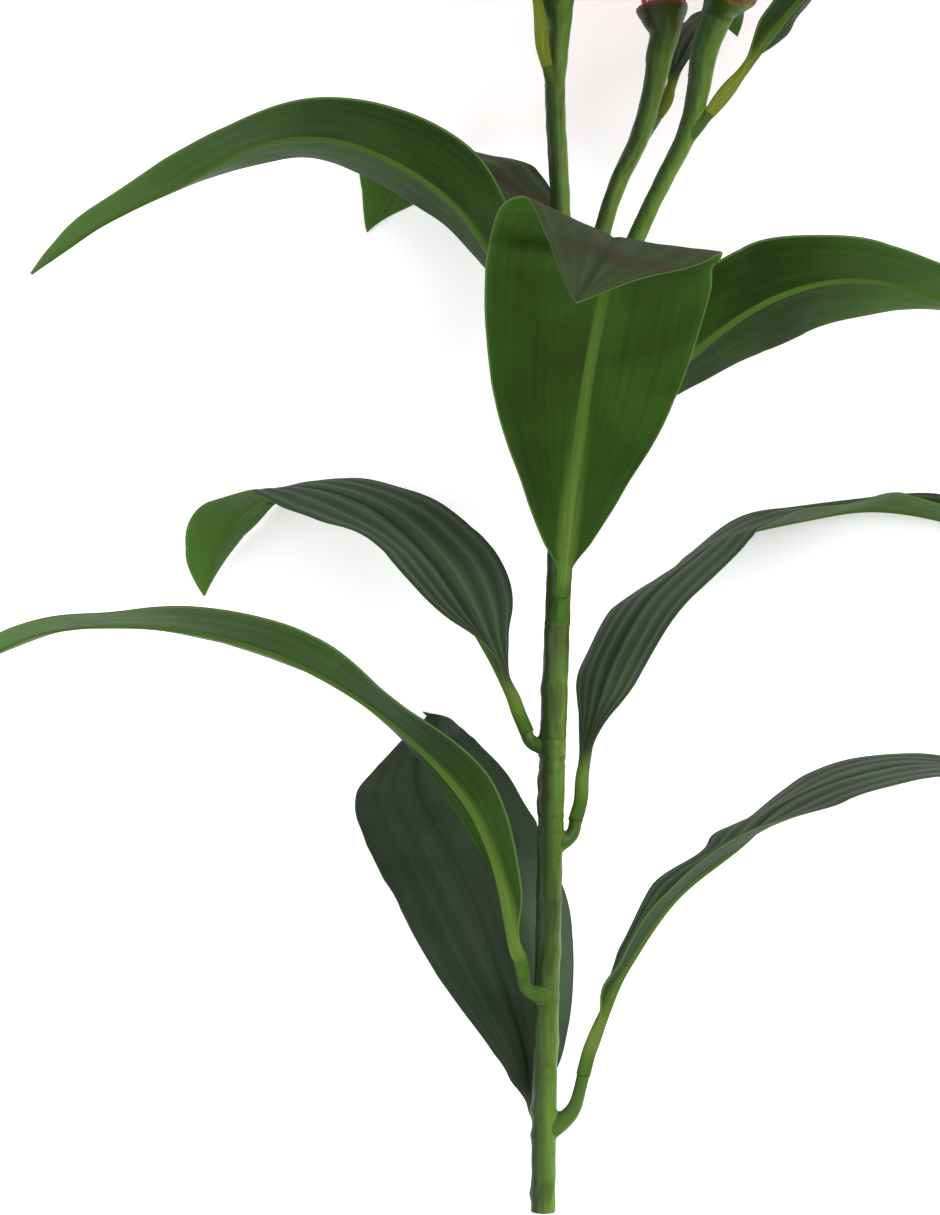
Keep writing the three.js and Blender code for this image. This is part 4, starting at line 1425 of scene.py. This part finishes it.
    @staticmethod
    def _relief(blade: Numbers, v: Numbers, half: Numbers, face: Face) -> Numbers:
        """Gives a tepal's furrow inside and its keel outside, with fine lengthwise veins."""
        near = np.abs(v) * half
        veins = 0.05 * np.cos(np.abs(v) * 34) * smoothstep(blade, 0.1, 0.3) * (1 - v**4)
        if face is Face.UPPER:
            banks = 0.35 * bell(near - 1.6, 0.7) * smoothstep(0.45 - blade, 0, 0.3)
            return veins + banks * smoothstep(blade, 0.06, 0.16) - 0.28 * bell(near, 0.75)
        return veins * 0.6 + 0.4 * mix(1, 0.35, blade) * bell(near, mix(1.5, 0.9, blade))

    @staticmethod
    def _rough(along: Numbers, across: Numbers, breadth: Numbers, upper: Numbers, **_: Numbers) -> Numbers:
        """Works out where a tepal's papillae stand: inside, low down, on both sides of its furrow."""
        wide = np.abs(across)
        lengthwise = smoothstep(along, 0.12, 0.2) * smoothstep(0.62 - along, 0, 0.2)
        return lengthwise * smoothstep(wide * breadth, 1.2, 2.4) * smoothstep(0.8 - wide, 0, 0.3) * upper

    def _plain(self, part: str, dark: Colour, light: Colour, **looks: float) -> bpy.types.Material:
        """Makes the plain finish of one of the bloom's parts."""
        return PlainFinish(f"{self.name}_{part}", dark, light, **looks).material()

    @staticmethod
    def _ring(
        radius: Callable[[Numbers, Numbers], Numbers], path: Numbers, way: Numbers, sides: int
    ) -> Shell:
        """Turns a body round a straight path.

        Args:
            radius: The radius, from the share along the path and the angle round it.
            path: The centres of its sections.
            way: The path's direction.
            sides: The points round it.

        Returns:
            The surface.
        """
        across = unit(np.cross(way, UP if abs(way[2]) < 0.9 else ALONG))
        other = np.cross(way, across)
        angle = np.linspace(0, 2 * np.pi, sides, endpoint=False)[None]
        share = np.linspace(0, 1, len(path))[:, None]
        size = radius(share, angle)
        spokes = across * np.cos(angle)[..., None] + other * np.sin(angle)[..., None]
        return Shell.loft(path[:, None] + spokes * size[..., None])

    def _stamens(self) -> None:
        """Builds the filaments on their disc, and the anthers with their pollen."""
        frame, bench = self.frame, self.bench
        end_out, end_height = self.shape.filament_end
        foot = self.disc_radius - self.filament_radius
        disc = [ALONG * (self.fit + self.disc_height * up) for up, _ in self.disc_route]
        paths = [(frame.at(0, disc), self.disc_radius * np.array([wide for _, wide in self.disc_route]))]
        half, tilt = self.anther_length / 2, math.radians(self.anther_tilt)
        lean = np.array([half * math.cos(tilt), -half * math.sin(tilt), 0])
        middle = np.array([end_out, end_height + self.anther_lift, 0])
        share, anthers = np.linspace(0, 1, 44), []
        for azimuth in range(0, 360, 60):
            route = [(foot, self.disc_height / 2, 0)]
            route += [(mix(foot, end_out, out), end_height * up, 0) for out, up in self.filament_route]
            path = SpaceCurve(frame.at(azimuth, route)).place(share)
            paths.append((path, self.filament_radius * mix(1.06, 0.62, share**2)))
            anthers.append(self._anther(*frame.at(azimuth, [middle - lean, middle + lean]), azimuth))
        rust = self._plain(
            "anther_rust", (92, 38, 14), (158, 78, 26), patch=700, grain=4000, depth=0.12, roughness=0.8
        )
        body = bench.object_of(f"{self.name}_anthers", anthers[0].joined(*anthers[1:]), rust)
        bench.set_layer(body, "pollen", np.ones(len(body.data.vertices)))
        dust = self._plain("pollen_dust", (148, 70, 20), (204, 118, 40), roughness=0.9)
        grains = ScatterGrowth(f"{self.name}_pollen", "pollen", 2.6, (0.07, 0.13), 1.0, 21, dust)
        pollen = grains.over(body, f"{self.name}_pollen")
        green = self._plain("filament_satin", (150, 172, 84), (196, 206, 134), roughness=0.4)
        threads = TubeGrowth(f"{self.name}_threads", 14, green).tubes(bench, f"{self.name}_filaments", paths)
        stamens = bench.merged(f"{self.name}_stamen_ring", [threads, body, pollen])
        bench.hand_over(stamens, f"{self.name}_stamens", "stamen")

    def _anther(self, start: Numbers, end: Numbers, azimuth: float) -> Shell:
        """Builds one anther: two plump lobes with a crease between them."""
        way = unit(end - start)
        share = np.linspace(0.0, 1.0, 33)
        bow = unit(np.cross(way, self.frame.turn @ self.frame.twirl(azimuth) @ UP))
        path = start + (end - start) * share[:, None] + bow * (0.35 * np.sin(np.pi * share))[:, None]

        def radius(u: Numbers, angle: Numbers) -> Numbers:
            """Rounds the ends and pinches the body lengthwise."""
            body = self.anther_radius * np.maximum(np.sin(np.pi * u), 0.0) ** 0.42
            pinch = 1 - 0.2 * np.cos(2 * angle) - 0.07 * np.cos(4 * angle)
            return np.maximum(0.92 * body * pinch * (1 + 0.03 * np.sin(14 * u + 3 * angle)), 0.05)

        return self._ring(radius, path, way, 28)

    def _pistil(self) -> None:
        """Builds the ovary, the style and the three-lobed stigma."""
        frame, bench, azimuth = self.frame, self.bench, self.style_azimuth
        end_out, end_height = self.shape.style_end
        start = self.disc_height + 2 * self.fit
        heights = start + self.ovary_length * np.linspace(0, 1, 40)[:, None]

        def swell(u: Numbers, angle: Numbers) -> Numbers:
            """Gives the ovary its six rounded ribs."""
            plump = self.ovary_radius * (1 - 0.3 * u**6) * smoothstep(u + 0.12, 0.0, 0.16)
            return plump * (1 + 0.055 * np.cos(6 * angle) - 0.04)

        ovary_shell = self._ring(swell, frame.at(azimuth, ALONG * heights), frame.turn @ ALONG, 48)
        satin = self._plain("ovary_satin", (98, 128, 52), (150, 172, 84), roughness=0.35)
        ovary = bench.object_of(f"{self.name}_ovary", ovary_shell, satin)
        route = [(0, start + self.ovary_length - 1, 0)]
        route += [(end_out * out, end_height * up, 0) for out, up in self.style_route]
        curve, line = SpaceCurve(frame.at(azimuth, route)), np.linspace(0, 1, 50)
        radii = self.style_radius * mix(0.86, 1.0, line) + 0.75 * smoothstep(line, 0.93, 1.0)
        pale = self._plain("style_satin", (168, 184, 104), (206, 204, 140), roughness=0.35)
        tubes = TubeGrowth(f"{self.name}_style_tube", 20, pale)
        style = tubes.tubes(bench, f"{self.name}_style", [(curve.place(line), radii)])
        wet = self._plain("stigma_gloss", (104, 84, 62), (150, 138, 84), roughness=0.2, coat=0.6)
        top = self._stigma(curve.place(1.0), curve.direction(1.0))
        stigma = bench.object_of(f"{self.name}_stigma", top, wet)
        pistil = bench.merged(f"{self.name}_pistil_body", [ovary, style, stigma])
        bench.hand_over(pistil, f"{self.name}_pistil", "pistil")

    def _stigma(self, tip: Numbers, way: Numbers) -> Shell:
        """Builds the stigma: a dome of three rounded lobes."""
        path = tip + way * np.linspace(-0.5, self.stigma_height * 0.75, 24)[:, None]

        def radius(u: Numbers, angle: Numbers) -> Numbers:
            """Swells into three lobes."""
            dome = np.sqrt(np.maximum(1 - (1.7 * u - 0.7) ** 2, 0.0))
            lobes = 0.8 + 0.26 * np.cos(3 * angle) + 0.04 * np.cos(6 * angle)
            return np.maximum(self.stigma_radius * dome * lobes, 0.05)

        return self._ring(radius, path, way, 60)


# The bud


@dataclass
class Bud:
    """The closed bud: a spindle with three broad ridges and the seams of its outer tepals."""

    bench: Workbench
    seat: Row = (2.8, 268.4, -2)
    axis: Row = (-0.14, 0.985, 0.1)
    seat_radius: float = 4.6
    length: float = 76.0
    radius: float = 10.5
    widest: float = 0.62
    foot: float = 0.36
    bend: float = 5.0
    fit: float = 0.3
    stations: int = 130
    sides: int = 96

    def build(self) -> None:
        """Builds and dresses the bud."""
        frame = BloomFrame(self.seat, self.axis)
        share = np.linspace(0, 1, self.stations + 1)[:, None]
        angle = (np.pi - (np.arange(self.sides) + 0.5) * 2 * np.pi / self.sides)[None]
        rise = np.sin(np.pi / 2 * np.minimum(share / self.widest, 1)) ** 1.6
        tip = np.cos(np.pi / 2 * np.clip((share - self.widest) / (1 - self.widest), 0, 1)) ** 0.7
        radius = np.maximum(self.radius * mix(self.foot, 1, rise) * tip, 0.15)
        ridges = np.cos(3 * angle)
        swirl = angle + 0.16 * np.sin(np.pi * share)
        seam = bell(np.abs(np.sin(1.5 * (swirl + np.pi / 3 - 0.1))), 0.045) * smoothstep(share, 0.05, 0.2)
        ribs = 0.012 * np.cos(18 * angle + 2 * share) * smoothstep(share, 0.02, 0.2)
        ridged = radius * (1 + 0.07 * ridges - 0.03 * np.cos(6 * angle) + ribs)
        ridged = np.maximum(ridged - 0.45 * seam * np.minimum(radius / 6, 1), 0.12)
        height = (self.length * share + self.fit) * np.ones_like(angle)
        out, depth = ridged * np.cos(angle) - self.bend * share**2, ridged * np.sin(angle)
        points = frame.at(0, np.stack([out, height, depth], axis=-1))
        layers = {"along": share, "turn": np.abs(angle), "ridge": 0.5 + 0.5 * ridges, "seam": seam}
        spread = {name: np.broadcast_to(values, height.shape) for name, values in layers.items()}
        bud = self.bench.object_of("bud_body", Shell.loft(points, spread), BudFinish("bud_satin").material())
        self.bench.hand_over(bud, "bud", "bud")


# The studio


@dataclass
class Studio:
    """The pale floor, the soft lights and the camera that looks down on the lily."""

    bench: Workbench
    eye: Row = (-16.06, 133.2, 950.0)
    view_height: float = 267.3  # what the frame's height covers at the stem's level
    aim: Row = (0.0, 150.0, 0.0)
    floor_size: float = 3000.0
    floor_drop: float = 0.1
    world_light: float = 0.97
    clip: Row = (0.01, 20.0)  # in metres
    lights: Sequence[tuple[str, Row, float, float]] = (
        ("key_light", (420.0, 480.0, 760.0), 560.0, 5.2),
        ("fill_light", (-620.0, 60.0, 620.0), 620.0, 2.2),
        ("front_light", (60.0, -560.0, 560.0), 520.0, 1.2),
    )

    def build(self) -> None:
        """Sets up the floor, the lights and the camera."""
        self._floor()
        self._world()
        for name, place, size, power in self.lights:
            lamp = bpy.data.lights.new(name, "AREA")
            lamp.shape, lamp.size, lamp.energy = "DISK", size / METRE, power
            self._stand(name, lamp, np.array(place))
        camera = bpy.data.cameras.new("camera")
        camera.sensor_fit = "VERTICAL"
        camera.angle = 2 * math.atan(self.view_height / 2 / self.eye[2])
        camera.clip_start, camera.clip_end = self.clip
        held = bpy.data.objects.new("camera", camera)
        held.location = (np.array(self.eye) + self.bench.shift) / METRE
        bpy.context.scene.collection.objects.link(held)
        bpy.context.scene.camera = held
        bpy.context.scene.view_settings.view_transform = "Standard"
        log.info("studio: floor, %d lights and camera", len(self.lights))

    def _stand(self, name: str, lamp: bpy.types.Light, place: Numbers) -> None:
        """Stands a light at a place and points it at the lily."""
        held = bpy.data.objects.new(name, lamp)
        back = unit(place - self.aim)
        side = unit(np.cross(ALONG, back))
        lift = np.cross(back, side)
        spot = (place + self.bench.shift) / METRE
        rows = [[*turn, value] for turn, value in zip(np.stack([side, lift, back], axis=1), spot)]
        held.matrix_world = Matrix([*rows, [0, 0, 0, 1]])
        bpy.context.scene.collection.objects.link(held)

    def _floor(self) -> None:
        """Lays the floor just under the lily."""
        half, level = self.floor_size / 2, -TABLE_BELOW_STEM - self.floor_drop
        corners = [(-half, -half, level), (half, -half, level), (half, half, level), (-half, half, level)]
        sheet, finish = Shell(np.array(corners), [[0, 1, 2, 3]]), FloorFinish("floor_matt").material()
        self.bench.object_of("floor", sheet, finish, smooth=False)

    def _world(self) -> None:
        """Fills the room with even light."""
        world = bpy.data.worlds.new("studio")
        world.use_nodes = True
        back = world.node_tree.nodes["Background"]
        back.inputs["Color"].default_value = (1.0, 1.0, 1.0, 1.0)
        back.inputs["Strength"].default_value = self.world_light
        bpy.context.scene.world = world


# The lily's own measures

STEM_PATH = (
    (0, 0, 0, 2.75), (0.3, 23, 0, 2.75), (1.3, 69, 0, 2.8), (2.2, 104, 0, 2.9), (3.5, 139, 0, 2.8),
    (4.9, 172, 0, 2.9), (5.2, 186, 0, 2.9),
)
STALKS = {
    "bud": (
        (5.2, 182, 0, 2.5), (4.8, 196, -1, 2.3), (3.9, 222, -2, 2.2), (2.7, 245, -2.6, 2.25),
        (3.2, 256, -2.6, 2.5),
    ),
    "half": (
        (4.9, 178, 0, 2.4), (8.6, 197, -3, 2), (15, 222.5, -5.2, 1.95), (21.5, 237.5, -6.3, 2.15),
        (24.8, 249, -7, 2.45), (25.8, 255, -7.4, 2.95),
    ),
    "open": (
        (4.7, 172, 0, 2.6), (11.5, 194, 2, 2.2), (23.5, 221, 3.6, 1.95), (31.2, 236.5, 4, 2.15),
        (34.1, 247.5, 4.3, 2.6), (35.2, 255, 4.6, 3.1),
    ),
}
LEAVES = {
    "leaf_low_right": LeafShape(
        twig=((1, 17.5, 0), (4.4, 20.4, 0.4), (7, 23.6, 0.8), (9, 31.5, 2.2)),
        spine=(
            (11, 38.5, 5, 42, 60), (13.5, 46, 10.5, 45, 40), (18, 56, 15, 24, 21), (28, 70.5, 16.5, 2, 21),
            (42, 81.5, 12.5, -15, 10), (54, 90.5, 1.5, -11, -9), (71, 96, -12, 0, -2),
            (87.5, 97.5, -25.5, 6, 2), (103.5, 93, -37, 12, 10), (112, 84, -48.5, 14, 15),
            (117, 74.5, -55.5, 13, 18),
        ),
        trim=(
            (0, 1.2, 1.1), (0.12, 1, 0.95), (0.33, 0.75, 0.95), (0.58, 1.15, 1.1), (0.8, 0.85, 1),
            (1, 1, 1),
        ),
        width=38, foot=12, seed=1.3,
    ),
    "leaf_low_back": LeafShape(
        twig=((0.4, 17.6, -0.8), (-0.9, 19.8, -3), (-1.6, 22.2, -4.9)),
        spine=(
            (-4, 36, -8.5, -50, 24), (-10, 54, -11.5, -35, 13), (-15.5, 68.5, -15.5, -13, 1),
            (-22.5, 82, -22, -6, 2), (-27.5, 91.5, -30.5, -15, 4), (-27.5, 99, -39.5, -20, 3),
            (-24, 106.5, -52, -3, 6), (-27, 109, -58, 0, 9),
        ),
        trim=((0, 0.8, 0.95), (0.3, 0.9, 1), (0.5, 1, 1.2), (0.7, 0.85, 1.15), (0.85, 0.9, 1.2), (1, 1, 1)),
        width=44.5, foot=1, widest=0.5, foot_power=0.8, tip_power=1.15, seed=2.9, brown=0.15,
        shade=0.4, ribbed=0.2,
    ),
    "leaf_low_left": LeafShape(
        twig=((1.2, 47, 0.6), (-3.6, 49.6, 3.6), (-4.3, 52.8, 4.6)),
        spine=(
            (-6.5, 60.5, 13.5, 20, 36), (-11, 80, 16, 14, 8), (-18.5, 94, 17, 28, 11),
            (-33.5, 109, 16, 12, 7), (-52, 120.5, 15.5, 15, 9), (-71, 127, 14.5, 16, 7),
            (-90.5, 129.5, 8, 7, 4), (-109.5, 128, -1.5, 0, 4), (-123.5, 122.5, -13.5, -8, 3),
            (-138, 114, -28, -22, 8),
        ),
        trim=((0, 1, 1.05), (0.15, 1.1, 1), (0.35, 0.8, 0.85), (0.6, 1, 0.95), (0.8, 0.9, 1.05), (1, 1, 1)),
        width=38, foot=11, tip_power=1, seed=4.4,
    ),
    "leaf_mid_right": LeafShape(
        twig=((1.8, 80.4, 0), (6.2, 83, -0.6), (7.3, 87, -1)),
        spine=(
            (9, 98, -4, 3, 16), (12, 111.5, -6, 1, -5), (15.5, 121.5, -9, 0, -4), (23.5, 134.5, -15, -11, -2),
            (35, 144.5, -24.5, -16, -5), (43, 149.5, -29.5, -11, -3), (59.5, 153.5, -38.5, -1, 8),
            (77.5, 156, -48, -4, 11), (96, 153, -51.5, 11, 19), (108, 147, -53.5, 14, 19),
            (118.5, 138.5, -57.5, 14, 18),
        ),
        trim=((0, 1.05, 1), (0.35, 1.05, 1.05), (0.6, 1.1, 0.95), (0.8, 1.05, 1), (1, 1, 1)),
        width=41, foot=10, seed=5.2, brown=0.35,
    ),
    "leaf_mid_left": LeafShape(
        twig=((1.8, 102.4, 0), (-2.6, 103.6, -0.3), (-3.8, 106.4, -0.5)),
        spine=(
            (-7.5, 115.5, -1, -20, 28), (-15, 129, -2, -8, 18), (-25, 144, -10.5, -7, 15),
            (-39, 156, -22.5, -8, -2), (-56, 160.5, -35.5, -7, 3), (-68, 155.5, -40.5, -3, 7),
            (-74, 147, -46.5, -15, 11), (-78, 136, -56, -30, 19),
        ),
        trim=(
            (0, 0.95, 1.25), (0.15, 1.1, 1.1), (0.35, 0.9, 0.85), (0.6, 0.85, 0.95), (0.8, 1.05, 1.2),
            (1, 1.05, 0.95),
        ),
        width=42, foot=8, seed=6.7,
    ),
    "leaf_front": LeafShape(
        twig=((3.3, 129.5, 0.5), (3.6, 133.2, 3.1), (4, 136.6, 5)),
        spine=(
            (5.8, 156, 11, 0, 2), (7, 165, 14.5, 1, 4), (8.5, 177.5, 20.5, 1, 3), (10, 187.5, 25.5, -2, 1),
            (13, 203.5, 33.5, -10, 3), (14, 211, 37.5, -14, 1), (14, 209.5, 48.5, -18, 12),
            (11.5, 205.5, 64, -17, 1), (5.5, 195, 76.5, -10, 3),
        ),
        trim=(
            (0, 1.1, 1), (0.15, 1.05, 0.95), (0.35, 1.05, 1), (0.6, 0.9, 1.05), (0.8, 1.1, 0.9),
            (1, 0.95, 0.85),
        ),
        width=50, foot=3, widest=0.58, foot_power=0.9, seed=7.1, brown=0.7, shade=0.12, ribbed=0.45,
    ),
    "leaf_top_right": LeafShape(
        twig=((4.6, 164, 0), (7.2, 166.6, -2.4), (9.6, 169.6, -3.8)),
        spine=(
            (20.5, 177, -11, -47, 22), (33, 189.5, -14.5, -39, 15), (48, 200.5, -16, -33, 6),
            (62.5, 206, -17, -25, 2), (76.5, 206.5, -21, -20, 1), (91, 203, -27, -13, 4),
            (101, 199, -37, -1, 12), (107, 190, -45, 9, 18),
        ),
        trim=((0, 1, 1), (0.35, 1, 0.95), (0.6, 1.1, 0.8), (0.8, 1, 0.95), (1, 1, 1)),
        width=46, foot=4, tip_power=1.15, seed=8.8,
    ),
    "leaf_top_left": LeafShape(
        twig=((4.4, 168, 0), (1.4, 171.6, 0.6), (-0.2, 174.4, 1)),
        spine=(
            (-4, 193.5, 6.5, -15, 17), (-12.5, 212, 11.5, 0, 8), (-22, 223, 14, 14, 10),
            (-36, 231.5, 15.5, 16, 5), (-49, 235, 15, 15, 4), (-63, 233.5, 12.5, 5, 3),
            (-78.5, 226, 7.5, -2, 9), (-95, 218.5, 3, -2, 8), (-105, 212.5, -1.5, -10, 14),
            (-113.3, 207.2, -7, -26, 26),
        ),
        width=42, foot=4, seed=9.6,
    ),
    "leaf_top_back": LeafShape(
        twig=((4.9, 174, -0.5), (3.4, 178.4, -3.2), (2.6, 181, -4.6)),
        spine=(
            (2, 197, -10, 9, 3), (0, 211.5, -18, 7, 3), (-6, 222.5, -22, 4, 4), (-16, 230, -30, -2, 8),
            (-23, 235.5, -38.5, -2, 7), (-30.5, 238.5, -45.5, 0, 6), (-34.5, 228.5, -50, 8, 1),
            (-40, 220.5, -57.5, -8, 13),
        ),
        trim=((0, 1, 1), (0.6, 1, 1.05), (1, 0.95, 1.05)),
        width=40, foot=4, seed=10.5, brown=0.6,
    ),
    "bract_bud": LeafShape(
        twig=((2.8, 246.8, -2.9), (1.3, 250.4, 0), (0.7, 253, 0.9)),
        spine=(
            (-0.8, 263.5, 3.5, 10, 30), (-2.6, 271, 6.5, 10, 20), (-8, 283, 10, 10, 12),
            (-16, 294, 12, 8, 10), (-27, 301, 11, 5, 10), (-38, 302, 6, 0, 10),
        ),
        width=17, foot=13, radius=1.2, seed=11.2,
    ),
    "bract_half_bloom": LeafShape(
        twig=((21.2, 236.5, -6.4), (24.4, 240.2, -8.4), (26, 243.2, -9.4)),
        spine=(
            (28.7, 249.5, -12, 0, 25), (31, 255.5, -16.5, -10, 15), (34, 261.5, -24, -10, 12),
            (38.5, 267, -33, -5, 10), (43, 269.5, -43, 0, 8), (46, 266, -52, 0, 8),
        ),
        width=14, foot=6, radius=1.2, seed=12.8,
    ),
    "bract_open_bloom": LeafShape(
        twig=((31.2, 236, 4.1), (34.6, 239.1, 5.1), (36.8, 241.9, 5.5)),
        spine=(
            (43, 249.8, 5.5, -20, 30), (48, 256.5, 4.5, -38, 14), (55.6, 266, 2, -40, 8),
            (65, 275.4, -2, -30, 6), (77, 281, -8, -20, 6), (89, 281, -16, -10, 6),
        ),
        width=20, foot=10, radius=1.25, seed=13.9,
    ),
}
BLOOMS = {
    Kind.OPEN: BloomShape(
        seat=(40.8, 268, 12), axis=(0.4, 0.72, 0.57), spin=24, seat_radius=6.5,
        profile=((3.9, 0), (5.4, 10), (9, 21), (16, 34), (28, 45.5), (43, 53), (57.5, 53.5), (67, 46)),
        inner_width=37, outer_width=27, flare=0.5, filament_end=(19, 56), style_end=(7, 66),
    ),
    Kind.HALF: BloomShape(
        seat=(26.6, 266.6, -9.2), axis=(-0.08, 0.97, -0.22), spin=40,
        profile=((3.9, 0), (5.4, 12), (8.4, 26), (12, 41), (17, 56), (24.5, 69), (34.5, 77), (42.5, 77.5)),
        inner_width=34, outer_width=25, flare=0.68, filament_end=(8.5, 50), style_end=(2, 60),
    ),
}


def main() -> None:
    """Builds the lily and its studio in order."""
    logging.basicConfig(level=logging.INFO, format="%(name)s: %(message)s")
    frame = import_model()
    log.info("frame: %d nodes", len(frame["nodes"]))
    bench = Workbench("stem")
    bud = Bud(bench)
    seats = {kind.value: (shape.seat, shape.axis, shape.seat_radius) for kind, shape in BLOOMS.items()}
    seats["bud"] = (bud.seat, bud.axis, bud.seat_radius)
    twigs = {name: (shape.twig, shape.radius) for name, shape in LEAVES.items()}
    Stem(bench, STEM_PATH, STALKS, seats, twigs).build()
    for name, shape in LEAVES.items():
        Leaf(bench, name, shape).build()
    for kind, shape in BLOOMS.items():
        Bloom(bench, kind, shape).build()
    bud.build()
    Studio(bench).build()
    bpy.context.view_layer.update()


if __name__ == "__main__":
    main()
